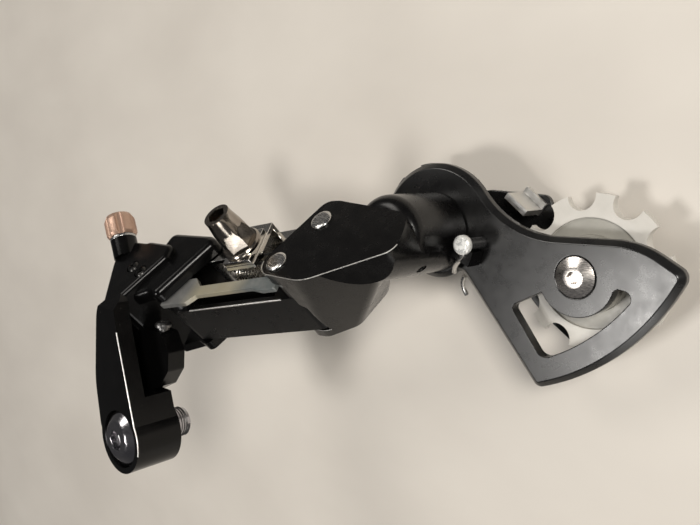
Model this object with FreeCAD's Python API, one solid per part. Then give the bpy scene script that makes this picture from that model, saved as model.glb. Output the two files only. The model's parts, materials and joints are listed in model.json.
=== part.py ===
import FreeCAD, Part
import math
import os

# Rear derailleur: hanger bolt, bracket, slanted four-bar linkage, sprung cage and two pulleys.
# Millimetres. The origin is on the hanger bolt at the hanger face, and +Z runs out to the bolt's head.

# Hanger bolt
STUB_R = 5.0
STUB_LENGTH = 6.0
SHANK_R = 6.0
BOLT_HEAD_R = 9.0
BOLT_FLANGE = 1.4
BOLT_HEAD_HEIGHT = 4.0
BOLT_DOME_R = 6.5
BOLT_CROWN_R = 5.4
BOLT_SOCKET_R = 3.4
BOLT_SOCKET_DEPTH = 3.0
CLIP_START = 0.4
CLIP_THICK = 1.0
CLIP_GROOVE = 0.8
CLIP_R = 8.2
CLIP_GAP_DEG = 50.0
THRUST_WASHER = 0.8
THRUST_WASHER_R = 9.4

# Bracket
BOSS_R = 11.2
BOSS_TOP = 15.4
BOSS_RIM = 2.6
BUSH_WALL = 1.5
ARM_WALL = 5.5
ARM_BACK = 3.0
EDGE_ROUND = 1.2
TAB_THICK = 6.0
TAB_START = 0.3
TAB_SCREW_X = 4.6
TAB_SCREW_Y = 35.0
TAB_SCREW_R = 2.0
TAB_SCREW_LENGTH = 13.0
TAB_HEAD_R = 2.8
TAB_HEAD = 1.6

# Bracket outlines as (x, y, corner radius): the arm and tab seen along the bolt, the rest along the link pins
ARM_INSET = 0.6
HOLLOW_CLEAR = 3.0
TAB_SINK = 2.0
ARM_OUTLINE = [(-BOSS_R, -1.0, 4.0), (-14.0, 17.0, 30.0), (-11.0, 42.0, 12.0), (-2.0, 50.0, 4.0),
               (1.4, 34.0, 30.0), (BOSS_R - ARM_INSET, 2.0, 4.0)]
ARM_HOLLOW = [(-6.5, BOSS_R + HOLLOW_CLEAR, 4.0), (-5.5, 60.0, 3.0), (30.0, 60.0, 3.0),
              (30.0, BOSS_R + HOLLOW_CLEAR, 3.0)]
TAB_OUTLINE = [(-8.0, BOSS_R - TAB_SINK, 1.0), (6.0, 16.0, 2.0), (11.0, 22.0, 2.0), (11.6, 28.0, 2.0),
               (8.0, 34.0, 2.0), (-8.0, 34.0, 1.0)]
FACET_OUTLINE = [(-9.5, 16.0, 2.5), (-14.0, 34.0, 6.0), (-11.5, 42.5, 4.0), (3.5, 42.5, 3.0),
                 (5.0, 37.5, 3.0), (-3.4, 17.2, 2.5)]
WING_OUTLINE = [(-9.5, 16.5, 2.5), (-21.6, 32.0, 5.0), (-21.6, 41.5, 3.5), (-6.0, 42.0, 2.0),
                (-6.0, 17.0, 2.0)]
YOKE_ROOT_LOW = (-5.5, 19.8, 2.0)
YOKE_ROOT_HIGH = (-5.5, 49.0, 3.0)

# Slanted linkage, in a frame turned about X so that its third axis runs along the link pins
PIN_SLANT_DEG = 45.0
LINKAGE_Z = -3.0
UPPER_OUTER_PIN = (6.7, 29.5)
LINK_LENGTH = 47.8
LINK_ANGLE_DEG = 16.0
PIN_SPACING = 17.3
PIN_LINE_DEG = 68.0
PIN_R = 1.75
PIN_HEAD_R = 3.3
PIN_HEAD = 0.9
PIN_TAIL = 0.6
PIN_TAIL_R = 2.4
PIN_TAIL_TIP_R = 2.1
PIN_RIM = 0.45
PIN_CROWN_R = 2.3
PIN_COVER = 1.2
YOKE_LOW = 11.0
LOW_CHEEK = 3.5
YOKE_HIGH = 42.0
HIGH_CHEEK = 4.5
FACET_RISE = 2.5
WING_DEPTH = 11.0
LINK_GAP = 0.4
EYE_R = 4.0
BRACKET_LOBE_R = 4.6
LOBE_R = 5.6
BRACKET_CORNER_R = 2.76
YOKE_ROUND = 2.2
FACET_ROUND = 1.6
OUTER_RAIL_TOP = 30.5
RAIL_WALL = 1.8
GROOVE_FLOOR = 21.0
LINK_PLATE_NECK = 11.8
LINK_PLATE_FLARE = 7.3
LINK_PLATE_END = 2.3
LINK_PLATE_OUTLINE = [(-0.3, -6.2, 0.5), (10.5, -6.3, 0.6), (14.0, -3.8, 1.5),
                      (LINK_LENGTH - LINK_PLATE_NECK, -3.8, 3.0), (LINK_LENGTH - LINK_PLATE_FLARE, -5.2, 1.0),
                      (LINK_LENGTH - LINK_PLATE_END, -5.2, 0.5), (LINK_LENGTH - LINK_PLATE_END, -0.2, 0.5),
                      (14.0, -0.2, 1.5), (10.8, 3.4, 1.0), (1.0, 3.4, 0.5)]
SHEET = 1.6

# Cable clamp
CLAMP_ALONG = 22.3
CLAMP_ACROSS = -6.0
CLAMP_TAB_WIDTH = 11.0
CLAMP_TAB_REACH = 12.4
CLAMP_TAB_LEVEL = 40.0
CLAMP_PLATE = 1.8
CLAMP_PLATE_INSET = 0.5
ANCHOR_R = 2.5
ANCHOR_FLANGE_R = 6.2
ANCHOR_FLANGE = 1.5
ANCHOR_HEAD = 12.0
ANCHOR_FOOT_R = 5.7
ANCHOR_TOP_R = 4.1
ANCHOR_FLAT_R = 4.5
ANCHOR_HEX = 6.4
ANCHOR_SOCKET_R = 2.9
ANCHOR_SOCKET = 5.4
ANCHOR_FLANGE_RIM = 0.9
ANCHOR_NUT = 2.3
ANCHOR_NUT_R = 4.0

# Return spring
SPRING_R = 2.4
SPRING_WIRE_R = 0.45
SPRING_TURNS = 13.0
SPRING_LEVEL = 27.0
SPRING_POST_R = 1.2
SPRING_POST_BACK = 8.0
SPRING_POST_ACROSS = 9.0
SPRING_HOOK = 6.0

# Cross-headed screws, as shares of the shank and head
SCREW_TIP_SHARE = 0.7
SCREW_TAPER_SHARE = 0.4
SCREW_RIM_SHARE = 0.55
SCREW_CROWN_SHARE = 0.75
CROSS_ARM_SHARE = 0.62
CROSS_HALF_SHARE = 0.12
CROSS_DEPTH_SHARE = 0.55

# Limit screws
LIMIT_SCREW_R = 1.5
LIMIT_HEAD_R = 2.1
LIMIT_HEAD = 1.4
LIMIT_LENGTH = 12.0
LIMIT_SINK = 1.0
LIMIT_SPOTS = (("high_limit_screw", -7.9, 31.4), ("low_limit_screw", -1.9, 30.2))

# Barrel adjuster
ADJUSTER_FOOT = (-19.2, 55.2, 1.6)
ADJUSTER_DIRECTION = (-0.494, 0.864, -0.099)
ADJUSTER_BOSS_R = 4.4
ADJUSTER_BOSS = 6.5
ADJUSTER_STEM_R = 2.5
ADJUSTER_STEM = 5.0
ADJUSTER_KNOB_R = 5.2
ADJUSTER_KNOB = 8.0
KNOB_FOOT_R = 4.5
KNOB_FOOT = 1.2
KNOB_CROWN_R = 4.2
KNOB_CROWN = 2.0
FLUTE_INSET = 0.5
FERRULE_R = 2.6
FERRULE_DEPTH = 5.2
ADJUSTER_FLUTE_R = 1.5
ADJUSTER_FLUTES = 6
ADJUSTER_BORE_R = 1.4
ADJUSTER_SPRING = 1.0
CABLE_RUN = 20.0

# Lower knuckle and cage pivot, outlines as (x, y, corner radius) from the lower outer pin
KNUCKLE_FRONT = (-7.6, -4.4)
KNUCKLE_FRONT_R = (3.5, 5.0)
KNUCKLE_SHOULDER_R = 4.0
KNUCKLE_LOW = [(1.35, -3.8, 5.0), (10.35, 2.3, 5.0), (13.35, 15.3, 5.0), (9.85, 22.8, 3.0)]
KNUCKLE_HIGH = [(13.35, -5.0, 14.0), (38.35, 8.8, 5.0), (35.35, 20.8, 6.0), (8.35, 23.8, 5.0)]
SLOT_NOSE = 2.0
CAGE_ALONG = 25.35
CAGE_RISE = 37.12
BARREL_R = 11.6
BARREL_ROUND = 4.0
BARREL_TOP = -19.0
BARREL_END = -41.9
SPRING_CAVITY_R = 9.2
SPRING_CAVITY = 13.5
AXLE_R = 4.5
AXLE_TIP = 1.0
AXLE_GROOVE = 0.8
SET_SCREW_Z = -26.6
SET_SCREW_DEG = -48.0
SET_SCREW_R = 1.6
SET_SCREW_SINK = 0.4
SET_SCREW_SOCKET_R = 1.0
SET_SCREW_SOCKET = 1.6
TORSION_WIRE_R = 0.9
TORSION_TURNS = 4.0
STOP_LUG_DEG = 14.0
STOP_LUG_RISE = 5.8

# Cage
CAGE_FRONT = -42.5
OUTER_PLATE = 3.5
CAGE_GAP = 14.0
INNER_PLATE = 1.8
DISC_R = 20.0
NECK_R = 28.0
FAN_TOP = 1.2
FAN_ARC_CENTRE = (13.3, 20.1)
FAN_ARC_R = 63.7
FAN_RIM = 7.3
FAN_BEVEL = 1.5
FAN_CORNER_R = 3.0
FAN_TIP_R = 2.4
FAN_TIP_DEG = -70.8
FAN_CORNER_DEG = -23.6
FAN_CREST_BACK = 11.67
FAN_CREST_RISE = 0.4
FAN_CREST_R = 22.0
DISC_END_DEG = 208.0
HOLLOW_INSET = 6.4
HOLLOW_START_DEG = 240.0
HOLLOW_END_DEG = 312.0
CRESCENT_TIP_DEG = -66.6
CRESCENT_END_DEG = -33.8
CRESCENT_START_DEG = -71.8
CRESCENT_DEPTH = 15.7
CRESCENT_TIP_R = 3.0
CRESCENT_END_R = 2.0
CRESCENT_ROUND = 1.4
NOTCH_R = 2.5
INNER_OUTLINE = [(-17.0, -8.0, 6.0), (-16.0, 8.5, 7.0), (8.0, 12.0, 6.0), (27.0, 11.0, 3.0), (31.0, 1.6, 6.0),
                 (52.0, 1.0, 8.0), (57.0, -7.0, 4.0), (50.0, -24.0, 10.0), (37.0, -31.0, 4.0),
                 (27.0, -24.0, 5.0), (14.0, -10.5, 9.0)]
TENSION_INSET = 21.4
TENSION_DEG = -42.9
GUIDE_INSET = 12.4
GUIDE_RISE = 2.8
BOLT_BOSS_R = 10.4
STOP_PIN_R = 1.6
STOP_PIN_HEAD_R = 2.7
STOP_PIN_HEAD = 2.0
STOP_PIN_CROWN_R = 2.0
STOP_PIN_CROWN = 0.6
STOP_PIN_RISE = 10.5
STOP_PIN_SPOT = (16.4, -1.8)
KEEPER_SPOT = (22.6, 9.4)
KEEPER_WIDTH = 8.0
KEEPER_THICK = 2.0
KEEPER_RISE = 9.5
KEEPER_FOOT = 4.4
KEEPER_FOOT_BACK = 2.4
KEEPER_FOOT_THICK = 1.2
KEEPER_DEG = -38.0

# Pulleys
CHAIN_PITCH = 12.7
TENSION_TEETH = 10
GUIDE_TEETH = 8
TOOTH_RISE = 0.6
ROLLER_SEAT_R = 3.9
TOOTH_HALF = 1.1
RIM_HALF = 1.9
RIM_WIDTH = 1.9
WEB_HALF = 1.2
HUB_HALF = 4.0
HUB_R = 10.4
PULLEY_BOLT_R = 2.5
PULLEY_BUSH_R = 4.0
PULLEY_HEAD_R = 4.4
PULLEY_HEAD = 2.4
PULLEY_HEAD_RIM = 1.2
PULLEY_CROWN_R = 3.5
PULLEY_SOCKET = 1.7
DISH_R = 5.6
DISH_DEPTH = 1.1
CAP_R = 9.9
CAP_THICK = 2.5
CAP_FOOT_R = 6.1
CAP_RIM = 1.4
GUIDE_TURN_DEG = 7.0
TENSION_TURN_DEG = 82.0

# Fits
RUNNING = 0.05
CLEAR = 0.3

Z_AXIS = FreeCAD.Vector(0, 0, 1)
ORIGIN = FreeCAD.Vector(0, 0, 0)
BEYOND = 90.0
SPARE = 1.0
NEAR = 0.5


def point(x, y, z=0.0):
    return FreeCAD.Vector(x, y, z)


def rod(radius, low, high, spot=(0.0, 0.0)):
    return Part.makeCylinder(radius, high - low, point(spot[0], spot[1], low))


def sleeve(outer, inner, low, high, spot=(0.0, 0.0)):
    return rod(outer, low, high, spot).cut(rod(inner, low, high, spot))


def rounded_wire(corners, level=0.0):
    """Closed wire through corners given as (x, y, corner radius)."""
    starts = []
    arcs = []
    count = len(corners)
    for index in range(count):
        here = point(corners[index][0], corners[index][1], level)
        before = point(corners[index - 1][0], corners[index - 1][1], level)
        after = point(corners[(index + 1) % count][0], corners[(index + 1) % count][1], level)
        back = (before - here).normalize()
        ahead = (after - here).normalize()
        half = back.getAngle(ahead) / 2.0
        radius = corners[index][2]
        run = radius / math.tan(half)
        middle = (back + ahead).normalize()
        crown = here + middle * (radius / math.sin(half) - radius)
        starts.append((here + back * run, here + ahead * run))
        arcs.append(Part.Arc(here + back * run, crown, here + ahead * run).toShape())
    edges = []
    for index in range(count):
        edges.append(arcs[index])
        edges.append(Part.LineSegment(starts[index][1], starts[(index + 1) % count][0]).toShape())
    return Part.Wire(edges)


def slab(corners, low, high):
    face = Part.Face(rounded_wire(corners, low))
    return face.extrude(point(0, 0, high - low))


def polygon(corners, low, high):
    points = [point(x, y, low) for x, y in corners]
    face = Part.Face(Part.makePolygon(points + points[:1]))
    return face.extrude(point(0, 0, high - low))


def bar(length, radius, low, high):
    """Straight link outline with round ends, lying along X from the origin."""
    ends = rod(radius, low, high).fuse(rod(radius, low, high, (length, 0.0)))
    middle = Part.makeBox(length, 2 * radius, high - low, point(0, -radius, low))
    return ends.fuse(middle).removeSplitter()


def hexagon(radius, low, high, spot=(0.0, 0.0)):
    corners = []
    for index in range(6):
        angle = math.radians(60.0 * index)
        corners.append((spot[0] + radius * math.cos(angle), spot[1] + radius * math.sin(angle)))
    return polygon(corners, low, high)


def turned(outline):
    """Solid of revolution about Z from (radius, height) points."""
    points = [point(radius, 0, height) for radius, height in outline]
    face = Part.Face(Part.makePolygon(points + points[:1]))
    return face.revolve(ORIGIN, Z_AXIS, 360)


def moved(shape, x, y, z=0.0):
    copy = shape.copy()
    copy.translate(point(x, y, z))
    return copy


def spun(shape, degrees, spot=(0.0, 0.0)):
    copy = shape.copy()
    copy.rotate(point(spot[0], spot[1]), Z_AXIS, degrees)
    return copy


def slanted(shape):
    """From the linkage's own frame to the part's frame."""
    copy = shape.copy()
    copy.rotate(ORIGIN, point(1, 0, 0), -PIN_SLANT_DEG)
    copy.translate(point(0, 0, LINKAGE_Z))
    return copy


def aimed(shape, foot, direction):
    """Carry a shape built along Z to a foot point and a direction."""
    copy = shape.copy()
    turn = FreeCAD.Rotation(Z_AXIS, point(*direction))
    copy.Placement = FreeCAD.Placement(point(*foot), turn).multiply(copy.Placement)
    return copy


def coil(radius, wire_radius, length, turns):
    """Close-wound spring along Z from the origin's level, with one rib for each turn."""
    pitch = length / turns
    outer = [(radius, 0.0)]
    for index in range(int(turns)):
        outer.append((radius + wire_radius, (index + 0.5) * pitch))
        outer.append((radius, (index + 1) * pitch))
    bore = [(radius - wire_radius, length), (radius - wire_radius, 0.0)]
    return turned(outer + bore)


def edges_at(shape, level, reach=1e-4):
    """Edges that lie wholly on one level of Z."""
    found = []
    for edge in shape.Edges:
        box = edge.BoundBox
        if abs(box.ZMin - level) < reach and abs(box.ZMax - level) < reach:
            found.append(edge)
    return found


def upright_edges(shape, spots, reach):
    """Vertical edges that stand near any of the given spots."""
    found = []
    for edge in shape.Edges:
        box = edge.BoundBox
        if box.XLength > reach or box.YLength > reach:
            continue
        for x, y in spots:
            if math.hypot(box.Center.x - x, box.Center.y - y) < reach:
                found.append(edge)
                break
    return found


def step_from(spot, length, degrees):
    angle = math.radians(degrees)
    return (spot[0] + length * math.cos(angle), spot[1] + length * math.sin(angle))


# Places worked out from the driving sizes
FACE_Z = BOSS_TOP + BOSS_RIM
CLIP_END = CLIP_START + CLIP_THICK
WASHER_END = CLIP_END + RUNNING + THRUST_WASHER
BOSS_LOW = WASHER_END + RUNNING
BUSH_R = SHANK_R + RUNNING + BUSH_WALL
UPPER_INNER_PIN = step_from(UPPER_OUTER_PIN, PIN_SPACING, PIN_LINE_DEG)
LOWER_OUTER_PIN = step_from(UPPER_OUTER_PIN, LINK_LENGTH, LINK_ANGLE_DEG)
LOWER_INNER_PIN = step_from(LOWER_OUTER_PIN, PIN_SPACING, PIN_LINE_DEG)
SLOT_LOW = YOKE_LOW + LOW_CHEEK
SLOT_HIGH = YOKE_HIGH - HIGH_CHEEK
LINK_LOW = SLOT_LOW + LINK_GAP
LINK_HIGH = SLOT_HIGH - LINK_GAP
FACET = YOKE_HIGH + FACET_RISE
PLATE_BACK = CAGE_FRONT - OUTER_PLATE
INNER_FRONT = PLATE_BACK - CAGE_GAP
INNER_BACK = INNER_FRONT - INNER_PLATE
PULLEY_Z = PLATE_BACK - CAGE_GAP / 2.0
EYE_SPACE = EYE_R + LINK_GAP
CAGE_PIVOT = (LOWER_OUTER_PIN[0] + CAGE_ALONG,
              LOWER_OUTER_PIN[1] * math.cos(math.radians(PIN_SLANT_DEG)) + CAGE_RISE)
SET_SCREW_LENGTH = BARREL_R - AXLE_R + AXLE_GROOVE - CLEAR
TORSION_R = SPRING_CAVITY_R - CLEAR - TORSION_WIRE_R
TENSION_SPOT = step_from(FAN_ARC_CENTRE, FAN_ARC_R - TENSION_INSET, TENSION_DEG)
GUIDE_SPOT = (GUIDE_INSET - DISC_R, GUIDE_RISE)
FAN_CREST = (step_from(FAN_ARC_CENTRE, FAN_ARC_R, FAN_CORNER_DEG)[0] - FAN_CREST_BACK,
             FAN_TOP + FAN_CREST_RISE)


def beside(spot, distance):
    """Spot moved square to the line of a knuckle's two pins, towards the cage."""
    return step_from(spot, distance, PIN_LINE_DEG - 90.0)


def along(spot, distance):
    """Spot moved along the line of a knuckle's two pins."""
    return step_from(spot, distance, PIN_LINE_DEG)


# Hanger bolt
def hanger_bolt():
    top = BOSS_TOP + RUNNING
    crown = top + BOLT_HEAD_HEIGHT
    blank = turned([
        (0.0, -STUB_LENGTH), (STUB_R - EDGE_ROUND / 2.0, -STUB_LENGTH),
        (STUB_R, -STUB_LENGTH + EDGE_ROUND / 2.0),
        (STUB_R, 0.0), (SHANK_R, 0.0), (SHANK_R, CLIP_START), (SHANK_R - CLIP_GROOVE, CLIP_START),
        (SHANK_R - CLIP_GROOVE, CLIP_END), (SHANK_R, CLIP_END), (SHANK_R, top),
        (BOLT_HEAD_R, top), (BOLT_HEAD_R, top + BOLT_FLANGE), (BOLT_DOME_R, crown - EDGE_ROUND / 2.0),
        (BOLT_CROWN_R, crown), (0.0, crown)])
    return blank.cut(hexagon(BOLT_SOCKET_R, crown - BOLT_SOCKET_DEPTH, crown + SPARE))


def retaining_clip():
    ring = sleeve(CLIP_R, SHANK_R - CLIP_GROOVE + RUNNING, CLIP_START + RUNNING, CLIP_END - RUNNING)
    half = math.radians(CLIP_GAP_DEG / 2.0)
    reach = 2.0 * CLIP_R
    mouth = [(0.0, 0.0), (reach, -reach * math.tan(half)), (reach, reach * math.tan(half))]
    return ring.cut(polygon(mouth, 0.0, BOSS_TOP))


def thrust_washer():
    return sleeve(THRUST_WASHER_R, SHANK_R + RUNNING, CLIP_END, CLIP_END + THRUST_WASHER)


# Bracket
def bracket_arm():
    """Curved arm between the hanger boss and the slanted head, open on its inner side."""
    arm = slab(ARM_OUTLINE, ARM_BACK, FACE_Z)
    arm = arm.cut(slab(ARM_HOLLOW, ARM_BACK - SPARE, FACE_Z - ARM_WALL))
    above_facet = Part.makeBox(4 * BEYOND, 4 * BEYOND, BEYOND, point(-2 * BEYOND, -2 * BEYOND, FACET))
    return arm.cut(slanted(above_facet))


def bracket_head():
    """Slanted head: raised facet with the limit screws, and a slotted yoke for the two links."""
    facet = slab(FACET_OUTLINE, SLOT_LOW + LOW_CHEEK, FACET)
    facet = facet.fuse(slab(WING_OUTLINE, FACET - WING_DEPTH, FACET)).removeSplitter()
    facet = facet.makeFillet(FACET_ROUND, edges_at(facet, FACET))
    outer = UPPER_OUTER_PIN
    inner = UPPER_INNER_PIN
    lobe = BRACKET_LOBE_R
    low_end = along(outer, -lobe)
    high_end = along(inner, lobe)
    corner = (BRACKET_CORNER_R,)
    yoke = slab([YOKE_ROOT_LOW, low_end + corner, beside(low_end, lobe) + corner,
                 beside(high_end, lobe) + corner, high_end + corner, YOKE_ROOT_HIGH], YOKE_LOW, YOKE_HIGH)
    yoke = yoke.makeFillet(YOKE_ROUND, edges_at(yoke, YOKE_HIGH))
    slot_start = along(beside(outer, -EYE_SPACE - CLEAR), -3 * LOBE_R)
    slot_end = along(beside(inner, -EYE_SPACE - CLEAR), 3 * LOBE_R)
    slot = polygon([slot_start, beside(slot_start, BEYOND), beside(slot_end, BEYOND), slot_end],
                   SLOT_LOW, SLOT_HIGH)
    head = facet.fuse(yoke).cut(slot)
    for name, x, y in LIMIT_SPOTS:
        head = head.cut(rod(LIMIT_SCREW_R + RUNNING, FACET - LIMIT_LENGTH - LIMIT_SINK, FACET, (x, y)))
        head = head.cut(rod(LIMIT_HEAD_R + CLEAR, FACET - LIMIT_SINK, FACET + SPARE, (x, y)))
    for spot in (outer, inner):
        head = head.cut(rod(PIN_R, YOKE_LOW - SPARE, YOKE_HIGH - PIN_COVER, spot))
    return head


def bracket_tab():
    """Stop tab by the boss, which carries the stop screw."""
    return slab(TAB_OUTLINE, TAB_START, TAB_START + TAB_THICK)


def stop_screw_place(shape):
    return aimed(shape, (TAB_SCREW_X, TAB_SCREW_Y, TAB_START + TAB_THICK / 2.0), (0.0, -1.0, 0.0))


def bracket_body():
    body = rod(BOSS_R, BOSS_LOW, FACE_Z).fuse(bracket_arm())
    body = body.fuse(bracket_tab())
    body = body.fuse(slanted(bracket_head()))
    body = body.fuse(aimed(rod(ADJUSTER_BOSS_R, 0.0, ADJUSTER_BOSS), ADJUSTER_FOOT, ADJUSTER_DIRECTION))
    body = body.cut(rod(BUSH_R, -STUB_LENGTH, BOSS_TOP + SPARE))
    body = body.cut(rod(BOLT_HEAD_R + CLEAR, BOSS_TOP, FACE_Z + SPARE))
    body = body.cut(rod(THRUST_WASHER_R + CLEAR, -STUB_LENGTH, BOSS_LOW))
    stem_low = ADJUSTER_BOSS - ADJUSTER_STEM - CLEAR
    stem_hole = rod(ADJUSTER_STEM_R + RUNNING, stem_low, ADJUSTER_BOSS + SPARE)
    cable_hole = rod(ADJUSTER_BORE_R, -CABLE_RUN, ADJUSTER_BOSS)
    body = body.cut(aimed(stem_hole.fuse(cable_hole), ADJUSTER_FOOT, ADJUSTER_DIRECTION))
    body = body.cut(stop_screw_place(rod(TAB_SCREW_R + RUNNING, -SPARE, TAB_SCREW_LENGTH + SPARE)))
    return body


def bracket_bush():
    return sleeve(BUSH_R, SHANK_R + RUNNING, BOSS_LOW, BOSS_TOP)


def slotted_head(shank_radius, head_radius, head_height, length):
    """Screw along Z with its shank rising to the origin's level and its head above, cross-slotted."""
    blank = turned([(0.0, -length), (shank_radius * SCREW_TIP_SHARE, -length),
                    (shank_radius, -length + shank_radius * SCREW_TAPER_SHARE),
                    (shank_radius, 0.0), (head_radius, 0.0), (head_radius, head_height * SCREW_RIM_SHARE),
                    (head_radius * SCREW_CROWN_SHARE, head_height), (0.0, head_height)])
    arm = head_radius * CROSS_ARM_SHARE
    half = head_radius * CROSS_HALF_SHARE
    depth = head_height * CROSS_DEPTH_SHARE
    for wide, tall in ((arm, half), (half, arm)):
        slot = Part.makeBox(2 * wide, 2 * tall, depth + SPARE, point(-wide, -tall, head_height - depth))
        blank = blank.cut(slot)
    return blank


def limit_screw(x, y):
    screw = slotted_head(LIMIT_SCREW_R, LIMIT_HEAD_R, LIMIT_HEAD, LIMIT_LENGTH)
    return slanted(moved(screw, x, y, FACET - LIMIT_SINK))


def stop_screw():
    screw = slotted_head(TAB_SCREW_R, TAB_HEAD_R, TAB_HEAD, TAB_SCREW_LENGTH)
    screw.rotate(ORIGIN, point(1, 0, 0), 180)
    return stop_screw_place(screw)


def barrel_adjuster():
    low = ADJUSTER_BOSS + ADJUSTER_SPRING + 2 * RUNNING
    top = low + ADJUSTER_KNOB
    knob = turned([(0.0, low), (KNOB_FOOT_R, low), (ADJUSTER_KNOB_R, low + KNOB_FOOT),
                   (ADJUSTER_KNOB_R, top - KNOB_CROWN), (KNOB_CROWN_R, top), (0.0, top)])
    for index in range(ADJUSTER_FLUTES):
        spot = step_from((0.0, 0.0), ADJUSTER_KNOB_R + FLUTE_INSET, 360.0 * index / ADJUSTER_FLUTES)
        knob = knob.cut(rod(ADJUSTER_FLUTE_R, low - SPARE, top + SPARE, spot))
    knob = knob.fuse(rod(ADJUSTER_STEM_R, ADJUSTER_BOSS - ADJUSTER_STEM, low))
    knob = knob.cut(rod(ADJUSTER_BORE_R, 0.0, top + SPARE))
    knob = knob.cut(rod(FERRULE_R, top - FERRULE_DEPTH, top + SPARE))
    return aimed(knob, ADJUSTER_FOOT, ADJUSTER_DIRECTION)


def adjuster_spring():
    low = ADJUSTER_BOSS
    ring = sleeve(ADJUSTER_BOSS_R, ADJUSTER_STEM_R + CLEAR, low, low + ADJUSTER_SPRING)
    return aimed(ring, ADJUSTER_FOOT, ADJUSTER_DIRECTION)


# Linkage
PIN_TAIL_OUTLINE = [(0.0, YOKE_LOW - PIN_TAIL), (PIN_TAIL_TIP_R, YOKE_LOW - PIN_TAIL), (PIN_TAIL_R, YOKE_LOW),
                    (PIN_R, YOKE_LOW)]


def upper_pin(spot):
    """Pin with its top hidden in the bracket's high cheek, peened over at its tail."""
    top = YOKE_HIGH - PIN_COVER
    pin = turned(PIN_TAIL_OUTLINE + [(PIN_R, top), (0.0, top)])
    return slanted(moved(pin, *spot))


def lower_pin(spot):
    """Pin with a domed head on the knuckle's top, peened over at its tail."""
    pin = turned(PIN_TAIL_OUTLINE + [(PIN_R, YOKE_HIGH), (PIN_HEAD_R, YOKE_HIGH),
                                     (PIN_HEAD_R, YOKE_HIGH + PIN_RIM),
                                     (PIN_CROWN_R, YOKE_HIGH + PIN_HEAD), (0.0, YOKE_HIGH + PIN_HEAD)])
    return slanted(moved(pin, *spot))


def on_link(shape, pin):
    """Carry a link built along X from the origin to its upper pin."""
    return slanted(moved(spun(shape, LINK_ANGLE_DEG), pin[0], pin[1]))


def outer_link():
    """Cast channel with two rails, and a tall eye at each end."""
    groove = Part.makeBox(LINK_LENGTH - 4 * EYE_R, 2 * (EYE_R - RAIL_WALL), BEYOND,
                          point(2 * EYE_R, -EYE_R + RAIL_WALL, GROOVE_FLOOR))
    body = bar(LINK_LENGTH, EYE_R, LINK_LOW, OUTER_RAIL_TOP).cut(groove)
    post_x = LINK_LENGTH - SPRING_POST_BACK
    post = rod(SPRING_POST_R, SPRING_LEVEL - 4 * SPRING_POST_R, SPRING_LEVEL + 4 * SPRING_POST_R,
               (post_x, SPRING_POST_ACROSS))
    foot = Part.makeBox(2 * SPRING_POST_R, SPRING_POST_ACROSS - EYE_R + SPRING_POST_R, 2 * SPRING_POST_R,
                        point(post_x - SPRING_POST_R, EYE_R - SPRING_POST_R, SPRING_LEVEL - 4 * SPRING_POST_R))
    body = body.fuse(post).fuse(foot)
    for spot in ((0.0, 0.0), (LINK_LENGTH, 0.0)):
        body = body.fuse(rod(EYE_R, LINK_LOW, LINK_HIGH - SHEET, spot))
        body = body.cut(rod(PIN_R + RUNNING, LINK_LOW - SPARE, LINK_HIGH + SPARE, spot))
    return on_link(body.removeSplitter(), UPPER_OUTER_PIN)


def link_plate():
    """Steel strip on the outer link's eyes, with a pointed lug at its upper end."""
    low = LINK_HIGH - SHEET
    plate = slab(LINK_PLATE_OUTLINE, low, LINK_HIGH)
    for x in (0.0, LINK_LENGTH):
        plate = plate.fuse(rod(EYE_R, low, LINK_HIGH, (x, 0.0)))
        plate = plate.cut(rod(PIN_R + RUNNING, low - SPARE, LINK_HIGH + SPARE, (x, 0.0)))
    return on_link(plate.removeSplitter(), UPPER_OUTER_PIN)


def inner_link():
    """Folded sheet channel with a clamp tab bent over the top."""
    top = bar(LINK_LENGTH, EYE_R, LINK_HIGH - SHEET, LINK_HIGH)
    low = bar(LINK_LENGTH, EYE_R, LINK_LOW, LINK_LOW + SHEET)
    web = Part.makeBox(LINK_LENGTH - EYE_R, SHEET, LINK_HIGH - LINK_LOW, point(EYE_R, EYE_R - SHEET, LINK_LOW))
    tab_x = CLAMP_ALONG - CLAMP_TAB_WIDTH / 2.0
    riser = Part.makeBox(CLAMP_TAB_WIDTH, SHEET, CLAMP_TAB_LEVEL + SHEET - LINK_HIGH,
                         point(tab_x, EYE_R - SHEET, LINK_HIGH))
    tab = Part.makeBox(CLAMP_TAB_WIDTH, CLAMP_TAB_REACH + EYE_R, SHEET,
                       point(tab_x, -CLAMP_TAB_REACH, CLAMP_TAB_LEVEL))
    body = top.fuse([low, web, riser, tab])
    open_pivot = PIN_R + CLEAR
    for x, hole in ((0.0, PIN_R + RUNNING), (LINK_LENGTH, open_pivot)):
        body = body.cut(rod(hole, LINK_LOW - SPARE, LINK_HIGH + SPARE, (x, 0.0)))
    body = body.cut(rod(ANCHOR_R, CLAMP_TAB_LEVEL - SPARE, BEYOND, (CLAMP_ALONG, CLAMP_ACROSS)))
    return on_link(body.removeSplitter(), UPPER_INNER_PIN)


def clamp_plate():
    low = CLAMP_TAB_LEVEL + SHEET
    reach = CLAMP_TAB_WIDTH / 2.0 - CLAMP_PLATE_INSET
    plate = Part.makeBox(2 * reach, CLAMP_TAB_REACH, CLAMP_PLATE,
                         point(CLAMP_ALONG - reach, -CLAMP_TAB_REACH, low))
    plate = plate.cut(rod(ANCHOR_R, low - SPARE, BEYOND, (CLAMP_ALONG, CLAMP_ACROSS)))
    return on_link(plate, UPPER_INNER_PIN)


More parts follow.
